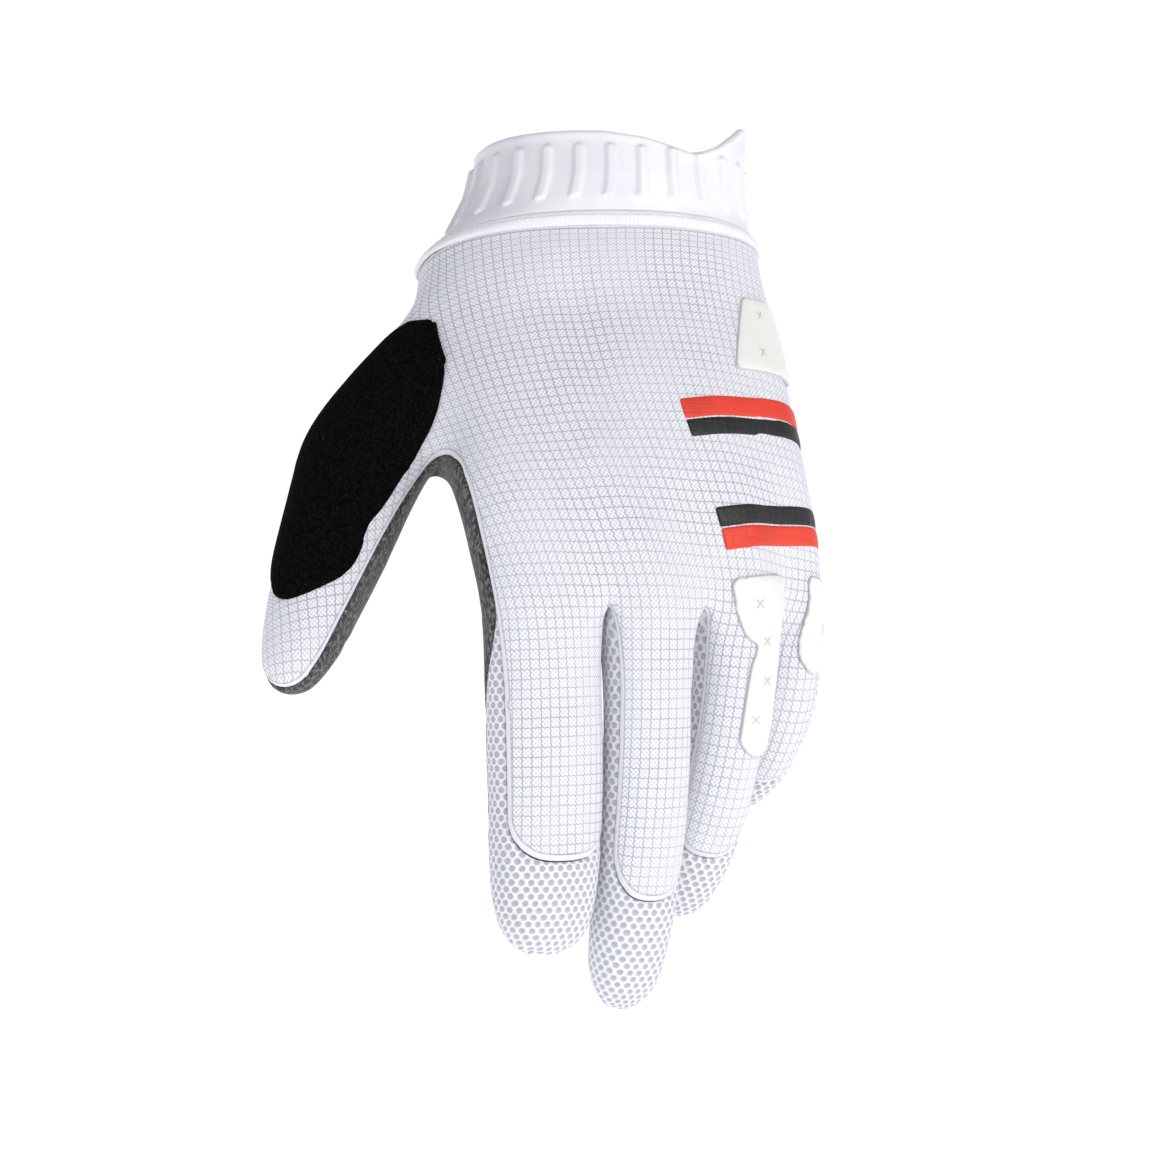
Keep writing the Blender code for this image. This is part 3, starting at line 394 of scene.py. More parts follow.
def web_corners():
    """Corners of the last ring of the hand, which the first rings of the fingers share."""
    shared = {}
    for number, finger in enumerate(FINGERS):
        first = CORNERS_PER_FINGER * number
        last = PALM_END - first
        places = [first, first + 1, first + 2, first + 3]
        places += [("web", number, 0), ("web", number, 1)]
        places += [last - 3, last - 2, last - 1, last]
        places += [("web", number - 1, 1), ("web", number - 1, 0)]
        for place, angle in zip(places, LIMB_RING_ANGLES):
            shared.setdefault(place, []).append((*section_of_finger(finger, angle), away_from_back(angle)))
    corners = {}
    for place, found in shared.items():
        corners[place] = [sum(values) / len(found) for values in zip(*found)]
    outer = {
        LITTLE_SIDE[0]: ("web", len(FINGERS) - 1, 0),
        LITTLE_SIDE[1]: ("web", len(FINGERS) - 1, 1),
        THUMB_SIDE[0]: ("web", -1, 1),
        THUMB_SIDE[1]: ("web", -1, 0),
    }
    for place, name in outer.items():
        corners[place] = corners.pop(name)
    return corners


class Cage:
    """Coarse mesh of the hand with, at each corner, its place on the cloth."""

    def __init__(self):
        self.points = []
        self.cloth = []
        self.around = []
        self.limb = []
        self.faces = []
        self.regions = []

    def add(self, point, cloth, around, limb):
        self.points.append(point)
        self.cloth.append(cloth)
        self.around.append(around)
        self.limb.append(limb)
        return len(self.points) - 1

    def band(self, upper, lower, region, skip=()):
        count = len(upper)
        for step in range(count):
            after = (step + 1) % count
            if step not in skip:
                self.faces.append((upper[step], lower[step], lower[after], upper[after]))
                self.regions.append(region)


def signed_runs(points, centre_place):
    """Lengths round a ring from its back's middle: positive towards the little finger."""
    count = len(points)
    runs = [0.0] * count
    half = count // 2
    for step in range(1, half + 1):
        here = (centre_place + step) % count
        runs[here] = runs[(here - 1) % count] + (points[here] - points[(here - 1) % count]).length
    for step in range(1, count - half):
        here = (centre_place - step) % count
        runs[here] = runs[(here + 1) % count] - (points[here] - points[(here + 1) % count]).length
    return runs


def limb_runs(points):
    """The same for a ring of twelve, whose back's middle lies between its second and third corners."""
    middle = (points[1] + points[2]) / 2
    runs = [0.0] * 12
    runs[2] = (points[2] - middle).length
    runs[1] = -runs[2]
    for here in (3, 4, 5, 6, 7):
        runs[here] = runs[here - 1] + (points[here] - points[here - 1]).length
    for here, before in ((0, 1), (11, 0), (10, 11), (9, 10), (8, 9)):
        runs[here] = runs[before] - (points[here] - points[before]).length
    return runs


def add_palm_rings(cage):
    corners = web_corners()
    angles = palm_angles()
    rings = []
    for row, section in enumerate(PALM_SECTIONS):
        frame = hand_frame(section["share"])
        blend = section["knuckles"]
        points = []
        aways = []
        for place, angle in enumerate(angles):
            across, out = oval(section["width"], section["depth"], angle)
            web_across, web_out, web_away = corners[place]
            points.append(frame.at((1 - blend) * across + blend * web_across,
                                   (1 - blend) * out + blend * web_out))
            aways.append((1 - blend) * away_from_back(angle) + blend * web_away)
        runs = signed_runs(points, BACK_STEPS // 2)
        along = section["share"] * BACK_LENGTH
        reach = (section["share"] - 1.0) * BACK_LENGTH
        ring = []
        for place, point in enumerate(points):
            outer = 1.0 if place in (0, PALM_END, *THUMB_SIDE, BACK_STEPS, *LITTLE_SIDE, PALM_START) else 0.0
            ring.append(cage.add(point, (runs[place], along), aways[place], (reach, outer)))
        rings.append(ring)
    patch = range(THUMB_PATCH_ROWS[0], THUMB_PATCH_ROWS[1])
    for row in range(len(rings) - 1):
        cage.band(rings[row], rings[row + 1], 0, skip=(PALM_END, *THUMB_SIDE) if row in patch else ())
    return rings, corners


def add_cap(cage, ring, frame, bulge, region, reach):
    """Close a limb with a patch of nine faces, its four inner corners pushed out."""
    inner = []
    for across, out in ((1, 2), (2, 2), (1, 1), (2, 1)):
        left = [cage.points[ring[11]], cage.points[ring[10]]][2 - out]
        right = [cage.points[ring[4]], cage.points[ring[5]]][2 - out]
        point = left.lerp(right, across / 3.0) + frame.down * bulge
        away = 75.0 if out == 2 else 105.0
        cloth = np.mean([cage.cloth[ring[11]], cage.cloth[ring[4]]], axis=0)
        side = (across - 1.5) * 2.0 * bulge
        inner.append(cage.add(point, (cloth[0] + side, cloth[1] + bulge), away, (reach, 0.0)))
    grid = [
        [ring[0], ring[1], ring[2], ring[3]],
        [ring[11], inner[0], inner[1], ring[4]],
        [ring[10], inner[2], inner[3], ring[5]],
        [ring[9], ring[8], ring[7], ring[6]],
    ]
    for row in range(3):
        for step in range(3):
            above, below = grid[row], grid[row + 1]
            cage.faces.append((above[step], below[step], below[step + 1], above[step + 1]))
            cage.regions.append(region)


def bend_of_finger(finger, share):
    """Degrees that a finger has bent towards the palm at a share of its length."""
    middle = finger["knuckle_bend"] * smoothstep(0.22, 0.55, share)
    return finger["flex"] + middle + finger["tip_bend"] * smoothstep(0.58, 0.86, share)


def finger_frame(finger, share):
    web = hand_frame(1.0)
    steps = 40
    centre = web.at(finger["across"], finger["out"])
    for step in range(steps):
        turned = web.turned(finger["splay"], bend_of_finger(finger, share * (step + 0.5) / steps), 0)
        centre = centre + turned.down * (finger["length"] * share / steps)
    turned = web.turned(finger["splay"], bend_of_finger(finger, share), finger["roll"] * -1.0)
    return turned.moved(centre)


def add_limb_ring(cage, frame, width, depth, cloth_of, reach, outers):
    points = [frame.at(*oval(width, depth, angle)) for angle in LIMB_RING_ANGLES]
    runs = limb_runs(points)
    ring = []
    for place, angle in enumerate(LIMB_RING_ANGLES):
        outer = (reach, outers[place])
        ring.append(cage.add(points[place], cloth_of(runs[place]), away_from_back(angle), outer))
    return ring


def add_finger(cage, number, rings, web_places):
    finger = FINGERS[number]
    last = rings[-1]
    first = CORNERS_PER_FINGER * number
    ring = [last[first + step] for step in range(4)]
    ring += web_places[number]
    ring += [last[PALM_END - first - 3 + step] for step in range(4)]
    ring += web_places[number - 1][::-1]
    middle = sum(cage.cloth[ring[step]][0] for step in range(4)) / 4
    outers = [0.0] * 12
    if number == 0:
        outers = [1.0 if place in (0, 9, 10, 11) else 0.0 for place in range(12)]
    if number == len(FINGERS) - 1:
        outers = [1.0 if place in (3, 4, 5, 6) else 0.0 for place in range(12)]
    for section in FINGER_SECTIONS:
        frame = finger_frame(finger, section["share"])
        reach = section["share"] * finger["length"]
        along = BACK_LENGTH + reach

        def cloth_of(run):
            return (middle + run, along)

        lower = add_limb_ring(cage, frame, finger["width"] * section["width"],
                              finger["depth"] * section["depth"], cloth_of, reach, outers)
        cage.band(ring, lower, number + 1)
        ring = lower
    tip = finger_frame(finger, 1.0)
    add_cap(cage, ring, tip, FINGER_CAP * finger["length"], number + 1, finger["length"])


def thumb_frame(share, roll=0.0):
    root = hand_frame(THUMB_ROOT["share"])
    turned = root.turned(THUMB_ROOT["splay"], THUMB_ROOT["flex"], roll)
    centre = root.at(THUMB_ROOT["across"], THUMB_ROOT["out"]) + turned.down * (share * THUMB_LENGTH)
    return turned.moved(centre)


def add_thumb(cage, rings):
    top, bottom = THUMB_PATCH_ROWS
    rows = range(top, bottom + 1)
    ring = [rings[row][0] for row in rows]
    ring += [rings[bottom][place] for place in reversed(THUMB_SIDE)]
    ring += [rings[row][PALM_END] for row in reversed(rows)]
    ring += [rings[top][place] for place in THUMB_SIDE]
    root = hand_frame(THUMB_ROOT["share"])
    middle = sum((cage.points[place] for place in ring[:4]), Vector()) / 4
    cloth = np.mean([cage.cloth[place] for place in ring[:4]], axis=0)
    outers = [1.0] * 12
    for section in THUMB_SECTIONS:
        frame = thumb_frame(section["share"], section["roll"])
        width = THUMB_WIDTH * section["width"]
        depth = THUMB_DEPTH * section["depth"]
        back = frame.at(0.0, depth / 2)
        step = Vector(((back - middle).dot(root.across), (back - middle).dot(root.down))).normalized()
        cloth = cloth + np.array(step) * (back - middle).length
        middle = back

        def cloth_of(run):
            return (cloth[0] + step.y * run, cloth[1] - step.x * run)

        lower = add_limb_ring(cage, frame, width, depth, cloth_of, section["share"] * THUMB_LENGTH, outers)
        cage.band(ring, lower, THUMB_REGION)
        ring = lower
    tip = thumb_frame(1.0, THUMB_SECTIONS[-1]["roll"])
    add_cap(cage, ring, tip, THUMB_CAP * THUMB_LENGTH, THUMB_REGION, THUMB_LENGTH)


def hand_cage():
    cage = Cage()
    rings, corners = add_palm_rings(cage)
    web = hand_frame(1.0)
    last = rings[-1]
    web_places = {-1: [last[place] for place in reversed(THUMB_SIDE)],
                  len(FINGERS) - 1: [last[place] for place in LITTLE_SIDE]}
    for number in range(len(FINGERS) - 1):
        places = []
        for step in range(2):
            across, out, away = corners[("web", number, step)]
            run = cage.cloth[last[CORNERS_PER_FINGER * (number + 1)]][0]
            along = BACK_LENGTH + WEB_RUN * (step + 1)
            places.append(cage.add(web.at(across, out), (run, along), away, (0.0, 0.0)))
        web_places[number] = places
    for number in range(len(FINGERS)):
        add_finger(cage, number, rings, web_places)
    add_thumb(cage, rings)
    return cage


def smooth_hand(levels):
    """The cage under a subdivision surface, as a bmesh whose corners keep their place on the cloth."""
    cage = hand_cage()
    mesh = bpy.data.meshes.new("hand_cage")
    mesh.from_pydata([tuple(point) for point in cage.points], [], cage.faces)
    for name, values in (("cloth", cage.cloth), ("limb", cage.limb), ("around", None)):
        layer = mesh.uv_layers.new(name=name)
        for loop in mesh.loops:
            if values is None:
                layer.data[loop.index].uv = (cage.around[loop.vertex_index] / 180.0, 0.0)
            else:
                layer.data[loop.index].uv = values[loop.vertex_index]
    for polygon, region in zip(mesh.polygons, cage.regions):
        polygon.material_index = region
    holder = bpy.data.objects.new("hand_cage", mesh)
    bpy.context.scene.collection.objects.link(holder)
    surface = holder.modifiers.new("Surface", "SUBSURF")
    surface.levels = levels
    surface.render_levels = levels
    surface.uv_smooth = "SMOOTH_ALL"
    bpy.context.view_layer.update()
    evaluated = holder.evaluated_get(bpy.context.evaluated_depsgraph_get())
    fine = evaluated.to_mesh()
    bm = bmesh.new()
    bm.from_mesh(fine)
    unused = [vert for vert in bm.verts if not vert.link_faces]
    bmesh.ops.delete(bm, geom=unused, context="VERTS")
    bm.verts.index_update()
    values = {}
    layers = [bm.loops.layers.uv[name] for name in ("cloth", "limb", "around")]
    for face in bm.faces:
        for loop in face.loops:
            cloth, limb, around = [loop[layer].uv for layer in layers]
            values[loop.vert.index] = (cloth.x, cloth.y, limb.x, limb.y, around.x * 180.0)
    for name, place in (("across", 0), ("along", 1), ("reach", 2), ("outer", 3), ("away", 4)):
        layer = bm.verts.layers.float.new(name)
        for vert in bm.verts:
            vert[layer] = values[vert.index][place]
    normals = bm.verts.layers.float_vector.new("outward")
    bm.normal_update()
    for vert in bm.verts:
        vert[normals] = vert.normal
    evaluated.to_mesh_clear()
    bpy.data.objects.remove(holder, do_unlink=True)
    bpy.data.meshes.remove(mesh)
    return bm

LAYERS = ("across", "along", "reach", "outer", "away")


class Spot:
    """A corner's place on the cloth, read by name."""

    def __init__(self, vert, layers, region):
        for name in LAYERS:
            setattr(self, name, vert[layers[name]])
        self.region = region
        self.co = vert.co


def layers_of(bm):
    return {name: bm.verts.layers.float[name] for name in LAYERS}


def region_of(vert):
    regions = [face.material_index for face in vert.link_faces]
    return max(set(regions), key=regions.count)


def slide(vert, towards, share, layers, outward):
    vert.co = vert.co.lerp(towards.co, share)
    for layer in layers.values():
        vert[layer] += (towards[layer] - vert[layer]) * share
    vert[outward] = Vector(vert[outward]).lerp(Vector(towards[outward]), share).normalized()


def cut_along(bm, field):
    """Split faces where the field is zero, sliding corners that lie close to the line onto it."""
    layers = layers_of(bm)
    outward = bm.verts.layers.float_vector["outward"]
    value = {vert: field(Spot(vert, layers, region_of(vert))) for vert in bm.verts}
    for vert in list(bm.verts):
        best = None
        for edge in vert.link_edges:
            other = edge.other_vert(vert)
            if value[vert] * value[other] < 0.0:
                share = value[vert] / (value[vert] - value[other])
                if share < SNAP and (best is None or share < best[0]):
                    best = (share, other)
        if best is not None:
            slide(vert, best[1], best[0], layers, outward)
            value[vert] = 0.0
    for edge in list(bm.edges):
        first, second = edge.verts
        if value[first] * value[second] < 0.0:
            share = value[first] / (value[first] - value[second])
            before = [first[layer] for layer in layers.values()]
            after = [second[layer] for layer in layers.values()]
            normal = Vector(first[outward]).lerp(Vector(second[outward]), share).normalized()
            point = first.co.lerp(second.co, share)
            fresh = bmesh.utils.edge_split(edge, first, share)[1]
            fresh.co = point
            for layer, low, high in zip(layers.values(), before, after):
                fresh[layer] = low + (high - low) * share
            fresh[outward] = normal
            value[fresh] = 0.0
    for face in list(bm.faces):
        split_face(face, value)
    return value


def split_face(face, value):
    """Join the face's corners on the line where it has corners on both sides."""
    signs = {value[vert] > 0.0 for vert in face.verts if value[vert] != 0.0}
    if len(signs) < 2:
        return
    ring = list(face.verts)
    on_line = [place for place, vert in enumerate(ring) if value[vert] == 0.0]
    for first in on_line:
        for second in on_line:
            if second - first < 2 or second - first > len(ring) - 2:
                continue
            inside = {value[vert] > 0.0 for vert in ring[first + 1:second] if value[vert] != 0.0}
            outside = {value[vert] > 0.0 for vert in ring[second + 1:] + ring[:first] if value[vert] != 0.0}
            if len(inside) == 1 and len(outside) == 1 and inside != outside:
                bmesh.utils.face_split(face, ring[first], ring[second])
                return


def piece_of(bm, chosen):
    """A copy of the surface with the chosen faces alone."""
    copy = bm.copy()
    numbers = {face.index for face in chosen}
    copy.faces.ensure_lookup_table()
    spare = [face for face in copy.faces if face.index not in numbers]
    bmesh.ops.delete(copy, geom=spare, context="FACES")
    return copy


def shrink_border(bm, margin):
    """Draw the open border in by a margin, along the surface."""
    moves = {}
    for edge in bm.edges:
        if not edge.is_boundary:
            continue
        face = edge.link_faces[0]
        inward = face.normal.cross(edge.verts[1].co - edge.verts[0].co)
        middle = (edge.verts[0].co + edge.verts[1].co) / 2
        if inward.dot(face.calc_center_median() - middle) < 0.0:
            inward.negate()
        if inward.length == 0.0:
            continue
        for vert in edge.verts:
            moves.setdefault(vert, []).append(inward.normalized())
    for vert, found in moves.items():
        total = sum(found, Vector())
        if total.length > LEAST_SUM:
            reach = margin / max(CORNER_SUM, total.length / len(found))
            vert.co += total.normalized() * reach


def fade_of(spot):
    """1 on the hand and where a limb's outer side starts, 0 where the mesh has its full width."""
    if spot.region in (0, THUMB_REGION):
        return 1.0
    finger = FINGERS[spot.region - 1]
    share = spot.reach / finger["length"]
    return min(1.0, max(0.0, spot.outer)) * (1.0 - smoothstep(0.0, MESH_START, share))


def side_seam(spot):
    """The side seam's angle: the knit reaches further round the wrist than down the hand."""
    share = spot.along / BACK_LENGTH
    return WRIST_SEAM + (SIDE_SEAM - WRIST_SEAM) * smoothstep(0.0, WRIST_SEAM_END, share)


def back_field(spot):
    seam = TONGUE_SEAM + (side_seam(spot) - TONGUE_SEAM) * fade_of(spot)
    if spot.region in (0, THUMB_REGION):
        return seam - spot.away
    finger = FINGERS[spot.region - 1]
    share = spot.reach / finger["length"]
    past = max(0.0, share - (finger["tongue"] - TONGUE_ROUNDING)) / TONGUE_ROUNDING
    return seam * (1.0 - math.hypot(spot.away / seam, past))


def palm_field(spot):
    seam = PALM_SEAM + (side_seam(spot) - PALM_SEAM) * fade_of(spot)
    return spot.away - seam


def inside_outline(outline, across, along):
    """Distance inside a closed outline on the cloth; negative outside it."""
    nearest = None
    within = False
    count = len(outline)
    for place in range(count):
        first_across, first_along = outline[place]
        second_across, second_along = outline[(place + 1) % count]
        run_across = second_across - first_across
        run_along = second_along - first_along
        length = run_across * run_across + run_along * run_along
        share = ((across - first_across) * run_across + (along - first_along) * run_along) / length
        share = min(1.0, max(0.0, share))
        gap = math.hypot(first_across + share * run_across - across, first_along + share * run_along - along)
        nearest = gap if nearest is None else min(nearest, gap)
        if (first_along > along) != (second_along > along):
            crossing = first_across + (along - first_along) / run_along * run_across
            if across < crossing:
                within = not within
    return nearest if within else -nearest


def overlay_field(outline, regions):
    """An outline on the cloth, held clear of the side seam."""
    def field(spot):
        inside = inside_outline(outline, spot.across, spot.along)
        if spot.region not in regions:
            inside = min(inside, -REGION_STEP)
        return min(inside, edge_field(spot))
    return field


def wipe_outline():
    inner = [(-row["inner"] * THUMB_LENGTH, row["along"] * THUMB_LENGTH) for row in WIPE_OUTLINE]
    outer = [(-row["outer"] * THUMB_LENGTH, row["along"] * THUMB_LENGTH) for row in WIPE_OUTLINE]
    return inner + outer[::-1]


def pad_outline(rows):
    return [(row["across"] * HAND_WIDTH / 2, row["along"] * BACK_LENGTH) for row in rows]


def stripe_outline(row):
    right = STRIPES_RIGHT * HAND_WIDTH / 2
    top = STRIPES_TOP + row["start"] * STRIPES_HEIGHT + SEAM_GAP / 2
    bottom = STRIPES_TOP + row["end"] * STRIPES_HEIGHT - SEAM_GAP / 2
    tilt = STRIPES_SLANT * (right - STRIPES_LEFT)
    return [(STRIPES_LEFT, top), (STRIPES_LEFT, bottom), (right, bottom + tilt), (right, top + tilt)]


def side_field(first, second):
    """Distance to the inner side of one straight side of an outline."""
    run_across = second[0] - first[0]
    run_along = second[1] - first[1]
    length = math.hypot(run_across, run_along)

    def field(spot):
        return (run_across * (spot.along - first[1]) - run_along * (spot.across - first[0])) / length
    return field


def turns_of(outline):
    """Twice the outline's area: positive where its corners run from across to along."""
    total = 0.0
    for first, second in zip(outline, outline[1:] + outline[:1]):
        total += first[0] * second[1] - second[0] * first[1]
    return total


def edge_field(spot):
    return (OVERLAY_EDGE - spot.away) * DEGREE_RUN


def keep_inside(sheet, field):
    """Cut the sheet along the field's zero line and drop what lies outside."""
    cut_along(sheet, field)
    layers = layers_of(sheet)
    outside = []
    for face in sheet.faces:
        if sum(field(Spot(vert, layers, face.material_index)) for vert in face.verts) <= 0.0:
            outside.append(face)
    bmesh.ops.delete(sheet, geom=outside, context="FACES")


def rim_rise(angle):
    return TAB_REACH * look_up(RIM_RISE, "rise", angle, "angle")


def plain_angle(angle):
    return (angle + 180.0) % 360.0 - 180.0


# Finer sizes of the dressed glove
FINE_LEVEL = 3
HEM_WIDTH = 0.0014
HEM_COVER = 0.0010
GRID_ACROSS = 0.00235
GRID_ALONG = 0.00225
MESH_PITCH = 0.0025
MESH_RISE = 0.0033
CROSS_REACH = 0.0017
PAD_CORNER = 0.0011
CROSS_WIDTH = 0.00045

# Heights above the surface at distances from a piece's own border
BACK_LIP = rows_of("run height", [
    (0.0, -0.00035),
    (0.0008, 0.00014),
    (0.0014, 0.00012),
    (0.0022, 0.00000),
])
PALM_LIP = rows_of("run height", [
    (0.0, -0.00040),
    (0.0009, 0.00016),
    (0.0026, 0.00000),
])
MESH_LIP = rows_of("run height", [
    (0.0, -0.00055),
    (0.0012, -0.00012),
    (0.0030, 0.00000),
])

# Creases of the palm, from one place to another in the picture plane of the palm, with a half width
PALM_CREASES = rows_of("from to depth half", [
    ((-0.044, -0.062), (-0.020, -0.034), 0.0011, 0.0016),
    ((-0.040, -0.071), (-0.012, -0.052), 0.0009, 0.0014),
    ((-0.010, -0.080), (0.022, -0.062), 0.0010, 0.0016),
    ((-0.036, -0.086), (0.006, -0.074), 0.0008, 0.0014),
    ((-0.012, -0.030), (-0.018, -0.058), 0.0007, 0.0016),
])
FINGER_CREASES = (0.04, 0.33, 0.62)
FURROW_ACROSS = -0.0125
FURROW_HALF = 0.0055
FURROW_DEPTH = 0.0012

# Small puckers beside a seam: how far from it, how wide and how deep
PUCKER_RUN = 0.0028
PUCKER_HALF = 0.0022
PUCKER_DEPTH = 0.00013


def lip_height(rows, run):
    return look_up(rows, "height", run, "run")


def border_runs(bm):
    """Distance of each corner from the piece's own border."""
    edges = [edge for edge in bm.edges if edge.is_boundary]
    tree = KDTree(2 * len(edges))
    for place, edge in enumerate(edges):
        tree.insert(edge.verts[0].co, 2 * place)
        tree.insert((edge.verts[0].co + edge.verts[1].co) / 2, 2 * place + 1)
    tree.balance()
    return {vert: tree.find(vert.co)[2] for vert in bm.verts}


def crease(value, half):
    """A furrow with soft shoulders: -1 in its bottom, a little above 0 beside it."""
    share = abs(value) / half
    return -math.exp(-share * share * 1.6) + 0.35 * math.exp(-(share - 2.0) * (share - 2.0) * 1.4)


def run_to_segment(point, first, second):
    run = (second[0] - first[0], second[1] - first[1])
    length = run[0] * run[0] + run[1] * run[1]
    share = ((point[0] - first[0]) * run[0] + (point[1] - first[1]) * run[1]) / length
    held = min(1.0, max(0.0, share))
    gap = math.hypot(first[0] + held * run[0] - point[0], first[1] + held * run[1] - point[1])
    return gap, held


def cloth_relief(spot, co, edge_run):
    """Soft dents of the worn cloth: broad swells, puckers along seams and creases of the palm."""
    height = 0.00050 * noise.noise(co * 34.0) + 0.00016 * noise.noise(co * 95.0 + Vector((3.0, 1.0, 7.0)))
    pucker = math.exp(-((edge_run - PUCKER_RUN) / PUCKER_HALF) ** 2)
    place = Vector((spot.along * 260.0, spot.away * 0.02, spot.region * 3.1))
    height += PUCKER_DEPTH * pucker * noise.noise(place)
    share = spot.along / BACK_LENGTH
    if spot.region == 0 and spot.away < 90.0:
        furrow = math.exp(-((spot.across - FURROW_ACROSS) / FURROW_HALF) ** 2)
        height -= FURROW_DEPTH * furrow * smoothstep(0.05, 0.30, share) * smoothstep(1.0, 0.75, share)
    palmar = smoothstep(104.0, 140.0, spot.away)
    if spot.region in (1, 2, 3, 4):
        finger = FINGERS[spot.region - 1]
        share = spot.reach / finger["length"]
        waver = 0.012 * noise.noise(Vector((spot.away * 0.05, spot.region, 0.0)))
        for place in FINGER_CREASES:
            height += 0.00060 * palmar * crease((share - place + waver) * finger["length"], 0.0013)
    if spot.region == THUMB_REGION:
        share = spot.reach / THUMB_LENGTH
        for place in (0.50, 0.53, 0.80):
            height += 0.00055 * palmar * crease((share - place) * THUMB_LENGTH, 0.0012)
    if spot.region in (0, THUMB_REGION) and palmar > 0.0:
        for row in PALM_CREASES:
            waver = 0.0016 * noise.noise(co * 60.0)
            gap, held = run_to_segment((co.x, co.z), row["from"], row["to"])
            ends = smoothstep(0.0, 0.25, held) * smoothstep(1.0, 0.75, held)
            height += row["depth"] * palmar * ends * crease(gap + waver, row["half"])
    return height


def place_piece(piece, nodes, slot_name):
    bpy.context.scene.collection.objects.link(piece)
    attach(piece, "root")
    if nodes:
        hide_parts(*nodes)
    return piece


def add_levels(piece, levels):
    surface = piece.modifiers.new("Surface", "SUBSURF")
    surface.levels = levels
    surface.render_levels = levels
    surface.boundary_smooth = "PRESERVE_CORNERS"


def dressed_mesh(name, bm, wall, lift, rows, relief):
    """The outer face of a piece with a turned-down border, carrying cloth places and border runs."""
    layers = layers_of(bm)
    outward = bm.verts.layers.float_vector["outward"]
    runs = border_runs(bm)
    bm.verts.index_update()
    verts = list(bm.verts)
    points = []
    cloth = []
    edge_runs = []
    for vert in verts:
        spot = Spot(vert, layers, region_of(vert))
        height = lift + lip_height(rows, runs[vert])
        if relief:
            height += cloth_relief(spot, vert.co, runs[vert])
        points.append(vert.co + Vector(vert[outward]) * height)
        cloth.append((spot.across, spot.along))
        edge_runs.append(runs[vert])
    faces = [[vert.index for vert in face.verts] for face in bm.faces]
    below = {}
    for edge in bm.edges:
        if not edge.is_boundary:
            continue
        loop = edge.link_loops[0]
        pair = (loop.vert, loop.link_loop_next.vert)
        for vert in pair:
            if vert not in below:
                below[vert] = len(points)
                points.append(vert.co + Vector(vert[outward]) * (lift - wall))
                cloth.append(cloth[vert.index])
                edge_runs.append(0.0)
        faces.append([pair[0].index, below[pair[0]], below[pair[1]], pair[1].index])
    mesh = bpy.data.meshes.new(name)
    mesh.from_pydata([tuple(point) for point in points], [], faces)
    layer = mesh.uv_layers.new(name="cloth")
    flat = [value for loop in mesh.loops for value in cloth[loop.vertex_index]]
    layer.data.foreach_set("uv", flat)
    border = mesh.attributes.new("border", "FLOAT", "POINT")
    border.data.foreach_set("value", edge_runs)
    mesh.shade_smooth()
    return mesh


def make_hand_panels(surface, looks):
    sheet = surface.copy()
    cut_along(sheet, back_field)
    cut_along(sheet, palm_field)
    layers = layers_of(sheet)
    chosen = {}
    for face in sheet.faces:
        spots = [Spot(vert, layers, face.material_index) for vert in face.verts]
        if sum(back_field(spot) for spot in spots) > 0.0:
            name = "back_panel"
        elif sum(palm_field(spot) for spot in spots) > 0.0:
            name = "palm_panel"
        else:
            name = FINGERS[face.material_index - 1]["name"] + "_mesh"
        chosen.setdefault(name, []).append(face)
    sheet.faces.index_update()
    forms = {
        "back_panel": {"wall": KNIT_WALL, "rows": BACK_LIP, "slot": "white_knit"},
        "palm_panel": {"wall": PALM_WALL, "rows": PALM_LIP, "slot": "grey_microfibre"},
    }
    for name, faces in chosen.items():
        form = forms.get(name, {"wall": MESH_WALL, "rows": MESH_LIP, "slot": "white_mesh"})
        panel = piece_of(sheet, faces)
        shrink_border(panel, SEAM_GAP / 2)
        mesh = dressed_mesh("dressed_" + name, panel, form["wall"], 0.0, form["rows"], True)
        panel.free()
        mesh.materials.append(looks[form["slot"]])
        piece = place_piece(bpy.data.objects.new("dressed_" + name, mesh), [name], form["slot"])
        add_levels(piece, 1)
    sheet.free()


def rounded(outline, reach):
    """The outline with each corner cut off at a reach, or at a quarter of a short side."""
    corners = []
    for first, second in zip(outline, outline[1:] + outline[:1]):
        length = math.hypot(second[0] - first[0], second[1] - first[1])
        cut = min(0.25, reach / length)
        for share in (cut, 1.0 - cut):
            corners.append(tuple(first[axis] + share * (second[axis] - first[axis]) for axis in (0, 1)))
    return corners


def overlay_sheet(surface, outline, regions):
    sheet = surface.copy()
    layers = layers_of(sheet)
    low = [min(values) - OVERLAY_MARGIN for values in zip(*outline)]
    high = [max(values) + OVERLAY_MARGIN for values in zip(*outline)]
    across, along = layers["across"], layers["along"]
    spare = []
    for face in sheet.faces:
        vert = face.verts[0]
        if not (low[0] < vert[across] < high[0] and low[1] < vert[along] < high[1]):
            spare.append(face)
    bmesh.ops.delete(sheet, geom=spare, context="FACES")
    field = overlay_field(outline, regions)
    far = []
    for face in sheet.faces:
        values = [field(Spot(vert, layers, face.material_index)) for vert in face.verts]
        if max(values) < -OVERLAY_MARGIN / 2:
            far.append(face)
    bmesh.ops.delete(sheet, geom=far, context="FACES")
    if turns_of(outline) < 0.0:
        outline = outline[::-1]
    corners = zip(outline[-1:] + outline[:-1], outline, outline[1:] + outline[:1])
    if all(turns_of([before, here, after]) > 0.0 for before, here, after in corners):
        for first, second in zip(outline, outline[1:] + outline[:1]):
            keep_inside(sheet, side_field(first, second))
        keep_inside(sheet, edge_field)
    else:
        keep_inside(sheet, field)
    return sheet


